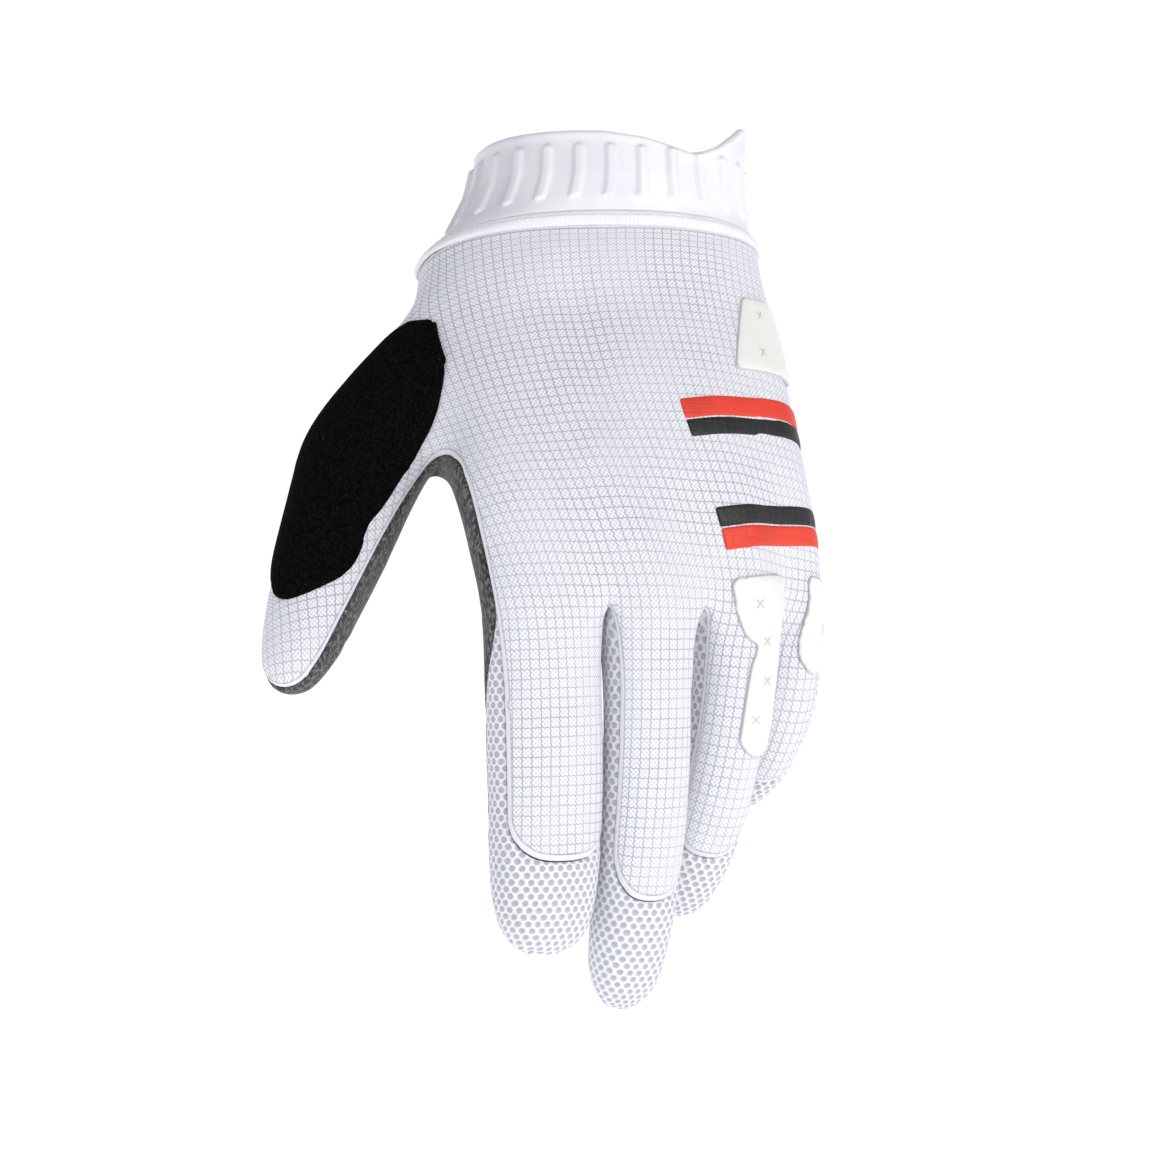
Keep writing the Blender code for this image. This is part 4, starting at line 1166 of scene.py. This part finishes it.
OVERLAYS = rows_of("name regions wall shown slot levels", [
    ("thumb_wipe", (THUMB_REGION,), WIPE_WALL, 0.7, "black_terry", 2),
    ("hand_edge_pad", (0,), PAD_WALL, 0.5, "cream_rubber", 2),
    ("ring_finger_pad", (0, 3), PAD_WALL, 0.5, "cream_rubber", 2),
    ("little_finger_pad", (0, 4), PAD_WALL, 0.5, "cream_rubber", 2),
    ("stripe_red_upper", (0,), STRIPE_WALL, 0.1, "red_print", 1),
    ("stripe_black_upper", (0,), STRIPE_WALL, 0.1, "black_print", 1),
    ("stripe_black_lower", (0,), STRIPE_WALL, 0.1, "black_print", 1),
    ("stripe_red_lower", (0,), STRIPE_WALL, 0.1, "red_print", 1),
])
OVERLAY_LIP = rows_of("run height", [
    (0.0, -0.00035),
    (0.0007, 0.0),
])
STRIPE_LIP = rows_of("run height", [
    (0.0, -0.00012),
    (0.0004, 0.0),
])


def outline_of(name):
    pads = {
        "hand_edge_pad": HAND_EDGE_PAD,
        "ring_finger_pad": RING_FINGER_PAD,
        "little_finger_pad": LITTLE_FINGER_PAD,
    }
    if name == "thumb_wipe":
        return rounded(wipe_outline(), THUMB_LENGTH)
    if name in pads:
        return rounded(pad_outline(pads[name]), PAD_CORNER)
    return stripe_outline([row for row in STRIPES if row["name"] == name][0])


def make_overlays(surface, looks):
    for row in OVERLAYS:
        sheet = overlay_sheet(surface, outline_of(row["name"]), row["regions"])
        top = OVERLAY_GAP + row["wall"] * row["shown"]
        stripe = row["name"].startswith("stripe")
        mesh = dressed_mesh("dressed_" + row["name"], sheet, top, top,
                            STRIPE_LIP if stripe else OVERLAY_LIP, False)
        sheet.free()
        mesh.materials.append(looks[row["slot"]])
        piece = place_piece(bpy.data.objects.new("dressed_" + row["name"], mesh), [row["name"]], row["slot"])
        add_levels(piece, row["levels"])


# The cuff, with its ribs and its rolled rim

def cuff_table():
    """Frames and sizes of the cuff at evenly spaced heights, for fast lookup."""
    heights = np.linspace(-HEM_COVER, CUFF_HEIGHT + TAB_REACH * 1.05, 90)
    table = []
    for height in [float(value) for value in heights]:
        share = min(1.0, max(0.0, height / CUFF_HEIGHT))
        swell = look_up(CUFF_SWELL, "swell", 1.0 - share)
        section = hand_frame(-share)
        section = section.moved(section.at(0.0, 0.0, share * CUFF_HEIGHT - height))
        width = CUFF_WIDTH + (WRIST_WIDTH - CUFF_WIDTH) * swell
        depth = CUFF_DEPTH + (WRIST_DEPTH - CUFF_DEPTH) * swell
        table.append([*section.centre, *section.across, *section.out, width, depth])
    return heights, np.array(table)


def cuff_place(heights, table, angle, height, grow):
    row = [np.interp(height, heights, table[:, column]) for column in range(table.shape[1])]
    centre, across_way, out_way = np.array(row[0:3]), np.array(row[3:6]), np.array(row[6:9])
    across, out = oval(row[9] + 2 * grow, row[10] + 2 * grow, angle)
    return centre + across * across_way + out * out_way


def even_angles(count):
    """Angles spaced evenly along the cuff's outline, starting at the middle of the back."""
    fine = [90.0 - step * 0.25 for step in range(1441)]
    points = [Vector(oval(CUFF_WIDTH, CUFF_DEPTH, angle)) for angle in fine]
    runs = [0.0]
    for before, after in zip(points, points[1:]):
        runs.append(runs[-1] + (after - before).length)
    total = runs[-1]
    steps = [step * total / count for step in range(count)]
    places = [(run, float(np.interp(run, runs, fine))) for run in steps]
    return total, places


def rib_relief(run, height):
    """Height of the nearest rib: an upright pill with rounded flanks and ends."""
    run -= RIB_SLANT * (CUFF_HEIGHT - RIB_TOP_INSET - height)
    rib = round(run / RIB_PITCH)
    if abs(rib) > RIB_COUNT // 2:
        return 0.0
    top = CUFF_HEIGHT - RIB_TOP_INSET - RIB_WIDTH / 2
    bottom = top - RIB_LENGTH + RIB_WIDTH
    beyond = max(0.0, height - top, bottom - height)
    away = math.hypot(run - rib * RIB_PITCH, beyond) / (RIB_WIDTH / 2)
    return RIB_RELIEF * (1.0 - smoothstep(0.42, 1.05, away))


def make_dressed_cuff(looks):
    heights, table = cuff_table()
    total, places = even_angles(500)
    foot = BINDING_WIDTH + SEAM_GAP
    steps = 62
    lip = 0.0010
    points = []
    rows = []
    for step in range(steps + 1):
        row = []
        for run, angle in places:
            bare = plain_angle(angle)
            rim = CUFF_HEIGHT + rim_rise(bare) - lip
            height = foot + (rim - foot) * step / steps
            signed = run if run <= total / 2 else run - total
            ripple = 0.00012 * noise.noise(Vector((signed * 60.0, height * 80.0, 0.0)))
            bead = 0.00030 * math.exp(-((rim - height) / 0.0012) ** 2)
            row.append(len(points))
            relief = rib_relief(signed, height) + ripple + bead
            points.append(cuff_place(heights, table, bare, height, relief))
        rows.append(row)
    for turn in (30, 60, 90, 120, 150, 180):
        row = []
        for run, angle in places:
            bare = plain_angle(angle)
            rim = CUFF_HEIGHT + rim_rise(bare) - lip
            height = rim + lip * sine(turn)
            grow = 0.0003 - CUFF_WALL / 2 + CUFF_WALL / 2 * cosine(turn)
            row.append(len(points))
            points.append(cuff_place(heights, table, bare, height, grow))
        rows.append(row)
    for step in range(1, 13):
        row = []
        for run, angle in places:
            bare = plain_angle(angle)
            rim = CUFF_HEIGHT + rim_rise(bare) - lip
            height = rim + (foot - rim) * step / 12
            row.append(len(points))
            points.append(cuff_place(heights, table, bare, height, -CUFF_WALL))
        rows.append(row)
    faces = []
    count = len(places)
    for lower, upper in zip(rows, rows[1:] + rows[:1]):
        for step in range(count):
            after = (step + 1) % count
            faces.append((lower[step], lower[after], upper[after], upper[step]))
    mesh = bpy.data.meshes.new("dressed_cuff")
    mesh.from_pydata([tuple(float(value) for value in point) for point in points], [], faces)
    mesh.shade_smooth()
    flip_outward(mesh)
    mesh.materials.append(looks["white_rubber"])
    place_piece(bpy.data.objects.new("dressed_cuff", mesh), ["cuff"], "white_rubber")


def flip_outward(mesh):
    bm = bmesh.new()
    bm.from_mesh(mesh)
    bmesh.ops.recalc_face_normals(bm, faces=bm.faces[:])
    bm.to_mesh(mesh)
    bm.free()


def make_dressed_binding(looks):
    """The hem between cuff and hand: a soft roll with a stitched groove."""
    heights, table = cuff_table()
    total, places = even_angles(420)
    low = -HEM_COVER
    high = BINDING_WIDTH
    half = BINDING_THICKNESS / 2
    points = []
    rows = []
    profile = []
    for step in range(19):
        share = step / 18
        bulge = math.sin(math.pi * share) ** 0.7
        groove = 0.00030 * math.exp(-((share - 0.72) / 0.05) ** 2)
        profile.append((low + (high - low) * share, 0.62 * half * bulge - groove))
    profile += [(high, -0.7 * BINDING_THICKNESS), (SEAM_GAP / 2, -0.7 * BINDING_THICKNESS)]
    for height, grow in profile:
        row = []
        for run, angle in places:
            ripple = 0.00016 * noise.noise(Vector((run * 220.0, height * 300.0, 2.0)))
            row.append(len(points))
            swollen = grow + (ripple if grow > 0 else 0.0)
            points.append(cuff_place(heights, table, plain_angle(angle), height, swollen))
        rows.append(row)
    faces = []
    cloth = [(run, height) for height, grow in profile for run, angle in places]
    count = len(places)
    for lower, upper in zip(rows, rows[1:] + rows[:1]):
        for step in range(count):
            after = (step + 1) % count
            faces.append((lower[step], lower[after], upper[after], upper[step]))
    mesh = bpy.data.meshes.new("dressed_cuff_binding")
    mesh.from_pydata([tuple(float(value) for value in point) for point in points], [], faces)
    layer = mesh.uv_layers.new(name="cloth")
    for polygon in mesh.polygons:
        columns = [place % count for place in polygon.vertices]
        for loop, column in zip(polygon.loop_indices, columns):
            run, height = cloth[mesh.loops[loop].vertex_index]
            layer.data[loop].uv = (run + total if column == 0 and max(columns) > 1 else run, height)
    mesh.shade_smooth()
    flip_outward(mesh)
    mesh.materials.append(looks["hem"])
    place_piece(bpy.data.objects.new("dressed_cuff_binding", mesh), ["cuff_binding"], "white_knit")


# Small embossed crosses of the pads, at places on the cloth, as shares like the pads' own corners
CROSSES = rows_of("across along region lift", [
    (0.80, 0.277, 0, PAD_WALL / 2),
    (0.76, 0.390, 0, PAD_WALL / 2),
    (0.31, 1.012, 3, PAD_WALL / 2),
    (0.39, 1.090, 3, PAD_WALL / 2),
    (0.42, 1.180, 3, PAD_WALL / 2),
    (0.38, 1.280, 3, PAD_WALL / 2),
    (1.02, 1.040, 4, PAD_WALL / 2),
])


def make_crosses(surface, looks):
    layers = layers_of(surface)
    outward = surface.verts.layers.float_vector["outward"]
    spots = [(vert, Spot(vert, layers, region_of(vert))) for vert in surface.verts]
    points = []
    faces = []
    for row in CROSSES:
        across = row["across"] * HAND_WIDTH / 2
        along = row["along"] * BACK_LENGTH
        near = []
        for vert, spot in spots:
            if spot.region in (0, row["region"]) and spot.away < 90.0:
                gap = math.hypot(spot.across - across, spot.along - along)
                if gap < 0.004:
                    near.append((gap, vert, spot))
        near.sort(key=lambda found: found[0])
        near = near[:5]
        if not near:
            continue
        weights = [1.0 / (gap + 0.0003) for gap, vert, spot in near]
        whole = sum(weights)
        centre = Vector()
        normal = Vector()
        for weight, (gap, vert, spot) in zip(weights, near):
            centre += vert.co * (weight / whole)
            normal += Vector(vert[outward]) * weight
        normal.normalize()
        down = (Vector((0.0, 0.0, -1.0)) + normal * normal.z).normalized()
        aside = normal.cross(down)
        base = centre + normal * (OVERLAY_GAP + row["lift"] - 0.00012)
        for turn in (45.0, -45.0):
            way = down * cosine(turn) + aside * sine(turn)
            side = normal.cross(way)
            add_bar(points, faces, base, way * CROSS_REACH, side * CROSS_WIDTH / 2, normal * 0.00030)
    mesh = bpy.data.meshes.new("pad_crosses")
    mesh.from_pydata([tuple(point) for point in points], [], faces)
    mesh.shade_smooth()
    flip_outward(mesh)
    mesh.materials.append(looks["cross"])
    place_piece(bpy.data.objects.new("pad_crosses", mesh), [], "cream_rubber")


def add_bar(points, faces, base, half_length, half_width, rise):
    """A rounded bar: half a pill lying on its flat side."""
    rings = []
    for step in range(9):
        along = -1.0 + 2.0 * step / 8
        narrow = math.sqrt(max(0.0, 1.0 - abs(along) ** 4)) * 0.98 + 0.02
        ring = []
        for turn in range(0, 181, 30):
            ring.append(len(points))
            points.append(base + half_length * along + half_width * cosine(turn) * narrow
                          + rise * sine(turn) * narrow)
        rings.append(ring)
    for before, after in zip(rings, rings[1:]):
        for place in range(len(before)):
            other = (place + 1) % len(before)
            faces.append((before[place], before[other], after[other], after[place]))
    faces.append(rings[0])
    faces.append(rings[-1][::-1])


# Materials

class Look:
    """A material whose nodes are added one by one."""

    def __init__(self, name):
        self.material = bpy.data.materials.new(name)
        self.material.use_nodes = True
        self.nodes = self.material.node_tree.nodes
        self.links = self.material.node_tree.links
        self.shader = self.nodes["Principled BSDF"]

    def fill(self, socket, value):
        if hasattr(value, "is_output"):
            self.links.new(value, socket)
        else:
            socket.default_value = value

    def set(self, **values):
        for name, value in values.items():
            self.fill(self.shader.inputs[name.replace("_", " ")], value)

    def math(self, operation, first, second=0.5, third=None):
        node = self.nodes.new("ShaderNodeMath")
        node.operation = operation
        self.fill(node.inputs[0], first)
        self.fill(node.inputs[1], second)
        if third is not None:
            self.fill(node.inputs[2], third)
        return node.outputs[0]

    def ramp(self, value, low, high, start=0.0, end=1.0):
        node = self.nodes.new("ShaderNodeMapRange")
        node.interpolation_type = "SMOOTHSTEP"
        for place, given in enumerate((value, low, high, start, end)):
            self.fill(node.inputs[place], given)
        return node.outputs[0]

    def plus(self, first, second):
        return self.math("ADD", first, second)

    def minus(self, first, second):
        return self.math("SUBTRACT", first, second)

    def times(self, first, second):
        return self.math("MULTIPLY", first, second)

    def wave(self, run, period):
        return self.math("SINE", self.times(run, 2.0 * math.pi / period))

    def seam(self, run, place, width):
        """A narrow line where the run comes to a place, 1 on it and 0 beside it."""
        return self.ramp(self.math("ABSOLUTE", self.minus(run, place)), 0.0, width, 1.0, 0.0)

    def mix(self, share, first, second):
        node = self.nodes.new("ShaderNodeMix")
        node.data_type = "RGBA"
        self.fill(node.inputs[0], share)
        self.fill(node.inputs[6], first if hasattr(first, "is_output") else (*first, 1.0))
        self.fill(node.inputs[7], second if hasattr(second, "is_output") else (*second, 1.0))
        return node.outputs[2]

    def cloth(self):
        node = self.nodes.new("ShaderNodeUVMap")
        node.uv_map = "cloth"
        parts = self.nodes.new("ShaderNodeSeparateXYZ")
        self.links.new(node.outputs[0], parts.inputs[0])
        return parts.outputs[0], parts.outputs[1]

    def place(self):
        return self.nodes.new("ShaderNodeTexCoord").outputs["Object"]

    def border(self):
        node = self.nodes.new("ShaderNodeAttribute")
        node.attribute_name = "border"
        return node.outputs["Fac"]

    def noise(self, scale, detail=3.0, stretch=None):
        node = self.nodes.new("ShaderNodeTexNoise")
        node.inputs["Scale"].default_value = scale
        node.inputs["Detail"].default_value = detail
        where = self.place()
        if stretch is not None:
            mapping = self.nodes.new("ShaderNodeMapping")
            mapping.inputs["Scale"].default_value = stretch
            self.links.new(where, mapping.inputs[0])
            where = mapping.outputs[0]
        self.links.new(where, node.inputs["Vector"])
        return node.outputs["Fac"]

    def cells(self, scale):
        node = self.nodes.new("ShaderNodeTexVoronoi")
        node.inputs["Scale"].default_value = scale
        self.links.new(self.place(), node.inputs["Vector"])
        return node.outputs["Distance"]

    def bump(self, height, distance):
        node = self.nodes.new("ShaderNodeBump")
        node.inputs["Strength"].default_value = 1.0
        node.inputs["Distance"].default_value = distance
        self.links.new(height, node.inputs["Height"])
        self.links.new(node.outputs[0], self.shader.inputs["Normal"])

    def line(self, value, pitch, half):
        """1 on the lines that lie a pitch apart, falling to 0 at a half width given as a share."""
        share = self.math("FRACT", self.math("DIVIDE", value, pitch))
        away = self.math("MINIMUM", share, self.math("SUBTRACT", 1.0, share))
        return self.ramp(away, 0.0, half, 1.0, 0.0)


def knit_look():
    """Fine knit with a thin sunken grid, and a plain turned hem along its border; painted shade darkens the
    grid lines, the hollows between the loops and the hem's fold.
    """
    look = Look("white_grid_knit")
    u, v = look.cloth()
    wobble = look.times(look.minus(look.noise(230.0, 2.0), 0.5), 0.0004)
    u = look.plus(u, wobble)
    v = look.plus(v, wobble)
    lines_u = look.line(u, GRID_ACROSS, 0.090)
    lines_v = look.line(v, GRID_ALONG, 0.085)
    dots = look.ramp(look.wave(look.minus(u, v), GRID_ALONG / 4.0), -1.0, 0.4, 0.45, 1.0)
    grid = look.times(look.math("MAXIMUM", lines_u, look.times(lines_v, 0.9)), dots)
    stitch_u = look.wave(u, GRID_ACROSS / 2.0)
    stitch_v = look.wave(v, GRID_ALONG / 2.0)
    loops = look.ramp(look.times(stitch_u, stitch_v), -0.70, 0.60)
    uneven = look.ramp(look.noise(45.0, 2.0), 0.3, 0.7, 0.55, 1.0)
    hem = look.ramp(look.border(), HEM_WIDTH, HEM_WIDTH * 1.15, 1.0, 0.0)
    fold = look.seam(look.border(), HEM_WIDTH * 1.12, 0.00028)
    inside = look.minus(1.0, hem)
    shown = look.times(look.times(grid, uneven), inside)
    # Painted shade: the hollows between the raised loops are painted a darker blue-grey.
    yarn_with_hollow_shade = look.mix(look.times(loops, inside), (0.66, 0.67, 0.77), (0.94, 0.94, 0.97))
    yarn_with_hollow_shade = look.mix(hem, yarn_with_hollow_shade, (0.84, 0.84, 0.90))
    # Painted shade: the sunken grid lines are painted a dark blue-grey.
    knit_with_grid_shade = look.mix(look.times(shown, 0.72), yarn_with_hollow_shade, (0.21, 0.22, 0.33))
    # Painted shade: a dark blue-grey line along the hem's fold.
    soft = look.mix(look.times(fold, 0.45), knit_with_grid_shade, (0.40, 0.41, 0.52))
    look.set(Base_Color=soft, Roughness=0.82, Sheen_Weight=0.25, Sheen_Roughness=0.5)
    relief = look.minus(look.times(loops, 0.35), shown)
    relief = look.minus(relief, fold)
    look.bump(relief, 0.00018)
    return look.material


def mesh_look():
    """Spacer mesh: staggered rhombic cells between thin light ridges, each hatched inside and painted dark
    with shade, darkest at its top.
    """
    look = Look("white_spacer_mesh")
    u, v = look.cloth()
    wobble = look.times(look.minus(look.noise(300.0, 2.0), 0.5), 0.0008)
    u = look.plus(u, wobble)
    column = look.math("DIVIDE", u, MESH_PITCH)
    row = look.math("DIVIDE", v, MESH_RISE)
    falling = look.minus(look.math("FRACT", look.plus(column, row)), 0.5)
    rising = look.minus(look.math("FRACT", look.minus(column, row)), 0.5)
    beside = look.plus(falling, rising)
    below = look.minus(falling, rising)
    stretched = look.times(below, 1.45)
    away = look.math("SQRT", look.plus(look.times(beside, beside),
                                       look.times(stretched, stretched)))
    pit = look.ramp(away, 0.34, 0.80, 1.0, 0.0)
    # Painted shade: each cell is darkest at its top, fading to a little over half toward its bottom.
    lower = look.ramp(below, -0.5, 0.6, 1.0, 0.55)
    hatch = look.math("SINE", look.times(look.plus(u, look.times(v, 0.6)),
                                        2.0 * math.pi / 0.00050))
    hatch = look.ramp(hatch, -1.0, 1.0)
    # The cells' dark blue-grey is painted shade in the holes, over the hatch pattern inside them.
    pit_shade_and_hatch = look.mix(hatch, (0.24, 0.26, 0.37), (0.70, 0.71, 0.81))
    ridge = look.mix(look.noise(900.0, 2.0), (0.80, 0.81, 0.87), (0.92, 0.92, 0.95))
    colour = look.mix(look.times(pit, lower), ridge, pit_shade_and_hatch)
    look.set(Base_Color=colour, Roughness=0.75, Sheen_Weight=0.2, Sheen_Roughness=0.5)
    relief = look.minus(1.0, pit)
    relief = look.plus(relief, look.times(look.times(hatch, pit), 0.3))
    look.bump(relief, 0.00045)
    return look.material


def suede_look():
    """Dark grey heather suede: short crossing fibres, light and dark."""
    look = Look("grey_heather_suede")
    fibres = look.noise(1500.0, 3.0, (1.0, 1.0, 0.55))
    crossed = look.noise(1650.0, 3.0, (0.55, 1.0, 1.0))
    flecks = look.times(look.ramp(fibres, 0.50, 0.70), look.ramp(crossed, 0.46, 0.68))
    cloudy = look.noise(70.0, 3.0)
    base = look.mix(look.ramp(cloudy, 0.3, 0.7), (0.030, 0.030, 0.033), (0.052, 0.052, 0.056))
    colour = look.mix(look.ramp(fibres, 0.44, 0.60), base, (0.15, 0.145, 0.138))
    colour = look.mix(flecks, colour, (0.34, 0.325, 0.30))
    border = look.border()
    seam_line = look.seam(border, 0.0017, 0.00030)
    u, v = look.cloth()
    run = look.plus(v, look.times(u, 0.7))
    stitches = look.times(seam_line, look.line(run, 0.0021, 0.36))
    colour = look.mix(look.times(stitches, 0.6), colour, (0.12, 0.12, 0.125))
    look.set(Base_Color=colour, Roughness=0.88, Sheen_Weight=0.15, Sheen_Roughness=0.4)
    relief = look.plus(look.times(fibres, 0.5), look.times(crossed, 0.5))
    relief = look.minus(relief, look.times(seam_line, 0.8))
    relief = look.plus(relief, look.times(stitches, 1.2))
    look.bump(relief, 0.00018)
    return look.material


def terry_look():
    """Black towelling of small loops, with painted shade in the gaps between them and a few pale specks of
    lint.
    """
    look = Look("black_terry_loops")
    loops = look.cells(1300.0)
    tufts = look.noise(420.0, 4.0)
    lint = look.ramp(look.noise(1500.0, 1.0), 0.76, 0.80)
    # Painted shade: the gaps between the loops are painted darker than the loops' tops.
    colour = look.mix(look.ramp(loops, 0.1, 0.7), (0.0065, 0.0065, 0.007), (0.0015, 0.0015, 0.0015))
    colour = look.mix(look.times(lint, 0.5), colour, (0.10, 0.08, 0.07))
    look.set(Base_Color=colour, Roughness=0.97, Specular_IOR_Level=0.06)
    look.bump(look.minus(tufts, look.times(loops, 0.8)), 0.0007)
    return look.material


def rubber_look(name, colour, shade, roughness, painted_edge_shade=False):
    """Moulded rubber with a fine matt grain and faint clouds in its colour; painted shade along the pads'
    borders.
    """
    look = Look(name)
    clouds = look.ramp(look.noise(60.0, 3.0), 0.3, 0.7)
    tone = look.mix(clouds, colour, shade)
    if painted_edge_shade:
        # Painted shade: the pad darkens to grey toward its border.
        rim = look.ramp(look.border(), 0.0, 0.00045, 0.75, 0.0)
        tone = look.mix(rim, tone, (0.50, 0.50, 0.53))
    look.set(Base_Color=tone,
             Roughness=look.ramp(look.noise(500.0, 2.0), 0.3, 0.7, roughness - 0.06, roughness + 0.06))
    look.set(Subsurface_Weight=0.08, Subsurface_Scale=0.002)
    look.bump(look.noise(2600.0, 2.0), 0.00003)
    return look.material


def print_look(name, colour, shade):
    """A smooth film on the knit, through which the sunken grid shows faintly as painted shade in its lines.
    """
    look = Look(name)
    u, v = look.cloth()
    grid = look.math("MAXIMUM", look.line(u, GRID_ACROSS, 0.14), look.line(v, GRID_ALONG, 0.12))
    clouds = look.ramp(look.noise(90.0, 3.0), 0.3, 0.7)
    # Painted shade: the grid lines darken the film toward its darker tone.
    look.set(Base_Color=look.mix(look.times(grid, 0.25), look.mix(clouds, colour, shade), shade),
             Roughness=look.ramp(look.noise(700.0, 2.0), 0.3, 0.7, 0.42, 0.56))
    look.bump(look.minus(look.times(look.noise(1800.0, 2.0), 0.4), grid), 0.00005)
    return look.material


def hem_look():
    """Plain knitted tape with fine ribs, a row of stitches and painted shade in its stitched groove."""
    look = Look("white_hem_tape")
    u, v = look.cloth()
    ribs = look.ramp(look.wave(u, 0.00075), -1.0, 1.0)
    seam_line = look.seam(v, BINDING_WIDTH * 0.70, 0.0003)
    stitches = look.times(seam_line, look.line(u, 0.0024, 0.34))
    colour = look.mix(look.times(ribs, 0.35), (0.88, 0.88, 0.92), (0.74, 0.75, 0.82))
    # Painted shade: the stitched groove is painted a darker blue-grey.
    colour = look.mix(look.times(seam_line, 0.4), colour, (0.55, 0.56, 0.64))
    colour = look.mix(stitches, colour, (0.92, 0.92, 0.95))
    look.set(Base_Color=colour, Roughness=0.75, Sheen_Weight=0.25, Sheen_Roughness=0.5)
    relief = look.plus(look.times(ribs, 0.3), look.noise(1500.0, 2.0))
    look.bump(look.plus(relief, look.times(stitches, 1.5)), 0.00010)
    return look.material


def make_looks():
    return {
        "white_knit": knit_look(),
        "white_mesh": mesh_look(),
        "grey_microfibre": suede_look(),
        "black_terry": terry_look(),
        "white_rubber": rubber_look("white_cuff_rubber", (0.86, 0.86, 0.90), (0.80, 0.80, 0.86), 0.46),
        "cream_rubber": rubber_look("cream_pad_rubber", (0.90, 0.89, 0.86), (0.86, 0.85, 0.82), 0.50, True),
        # The crosses' grey is painted shade of the marks embossed in the cream pad rubber.
        "cross": rubber_look("pad_cross_painted_shade_rubber", (0.66, 0.65, 0.63), (0.60, 0.59, 0.57), 0.50),
        "red_print": print_look("red_film", (0.86, 0.052, 0.024), (0.76, 0.042, 0.020)),
        "black_print": print_look("black_film", (0.012, 0.012, 0.013), (0.007, 0.007, 0.008)),
        "hem": hem_look(),
    }


# Camera, floor and lights

PHOTO_TURN = -30.0
PHOTO_WIDTH = 0.2711
PHOTO_LEFT = 0.0179
PHOTO_UP = 0.00565
CAMERA_AWAY = 5.00
FLOOR_DROP = 0.40
FLOOR_REACH = 30.0
FLOOR_GLOW = 0.72

# Places of the lights from the glove's middle: to the right, away from the camera and up
LIGHTS = rows_of("name right ahead up size power colour", [
    ("key", 1.3, -1.2, 0.9, 0.9, 13.0, (1.0, 0.99, 0.97)),
    ("fill", -1.6, -0.9, 0.3, 1.2, 1.8, (0.90, 0.93, 1.0)),
    ("back", 0.0, 1.4, 1.2, 1.2, 2.5, (1.0, 1.0, 1.0)),
])

# The world is bright near the horizon and dim above and below: from and to which height, and how bright
WORLD_STEEPNESS = (0.12, 0.40)
WORLD_STRENGTH = (1.08, 0.34)


def make_camera():
    right = Vector((cosine(PHOTO_TURN), sine(PHOTO_TURN), 0.0))
    ahead = Vector((-sine(PHOTO_TURN), cosine(PHOTO_TURN), 0.0))
    target = hand_frame(1.0).centre - right * PHOTO_LEFT + Vector((0.0, 0.0, PHOTO_UP))
    data = bpy.data.cameras.new("camera")
    data.sensor_width = 36.0
    data.lens = 36.0 * CAMERA_AWAY / PHOTO_WIDTH
    data.clip_end = 50.0
    camera = bpy.data.objects.new("camera", data)
    bpy.context.scene.collection.objects.link(camera)
    camera.location = target - ahead * CAMERA_AWAY
    camera.rotation_euler = ahead.to_track_quat("-Z", "Y").to_euler()
    bpy.context.scene.camera = camera
    bpy.context.scene.view_settings.view_transform = "Standard"
    return target, right, ahead


def add_light(name, place, target, size, power, colour):
    data = bpy.data.lights.new(name, "AREA")
    data.shape = "DISK"
    data.size = size
    data.energy = power
    data.color = colour
    light = bpy.data.objects.new(name, data)
    bpy.context.scene.collection.objects.link(light)
    light.location = place
    light.rotation_euler = (target - place).to_track_quat("-Z", "Y").to_euler()


def make_studio(target, right, ahead):
    up = Vector((0.0, 0.0, 1.0))
    for row in LIGHTS:
        place = target + right * row["right"] + ahead * row["ahead"] + up * row["up"]
        add_light(row["name"], place, target, row["size"], row["power"], row["colour"])
    world = bpy.data.worlds.new("studio")
    world.use_nodes = True
    nodes = world.node_tree.nodes
    links = world.node_tree.links
    background = nodes["Background"]
    place = nodes.new("ShaderNodeTexCoord")
    parts = nodes.new("ShaderNodeSeparateXYZ")
    steep = nodes.new("ShaderNodeMath")
    steep.operation = "ABSOLUTE"
    bright = nodes.new("ShaderNodeMapRange")
    for socket, value in enumerate(WORLD_STEEPNESS + WORLD_STRENGTH, start=1):
        bright.inputs[socket].default_value = value
    links.new(place.outputs["Generated"], parts.inputs[0])
    links.new(parts.outputs[2], steep.inputs[0])
    links.new(steep.outputs[0], bright.inputs[0])
    links.new(bright.outputs[0], background.inputs["Strength"])
    background.inputs["Color"].default_value = (0.96, 0.975, 1.0, 1.0)
    bpy.context.scene.world = world
    mesh = bpy.data.meshes.new("floor")
    level = hand_frame(1.0).centre.z - FLOOR_DROP
    corners = [(-1, -1), (1, -1), (1, 1), (-1, 1)]
    mesh.from_pydata([(FLOOR_REACH * x, FLOOR_REACH * y, level) for x, y in corners], [], [(0, 1, 2, 3)])
    look = Look("pale_floor")
    look.set(Base_Color=look.mix(look.noise(3.0, 2.0), (0.90, 0.90, 0.90), (0.88, 0.88, 0.88)), Roughness=0.9,
             Emission_Color=(1.0, 1.0, 1.0, 1.0), Emission_Strength=FLOOR_GLOW)
    mesh.materials.append(look.material)
    floor = bpy.data.objects.new("floor", mesh)
    bpy.context.scene.collection.objects.link(floor)


def dress():
    looks = make_looks()
    surface = smooth_hand(FINE_LEVEL)
    make_hand_panels(surface, looks)
    make_overlays(surface, looks)
    make_crosses(surface, looks)
    surface.free()
    make_dressed_cuff(looks)
    make_dressed_binding(looks)
    make_studio(*make_camera())


dress()
bpy.context.view_layer.update()
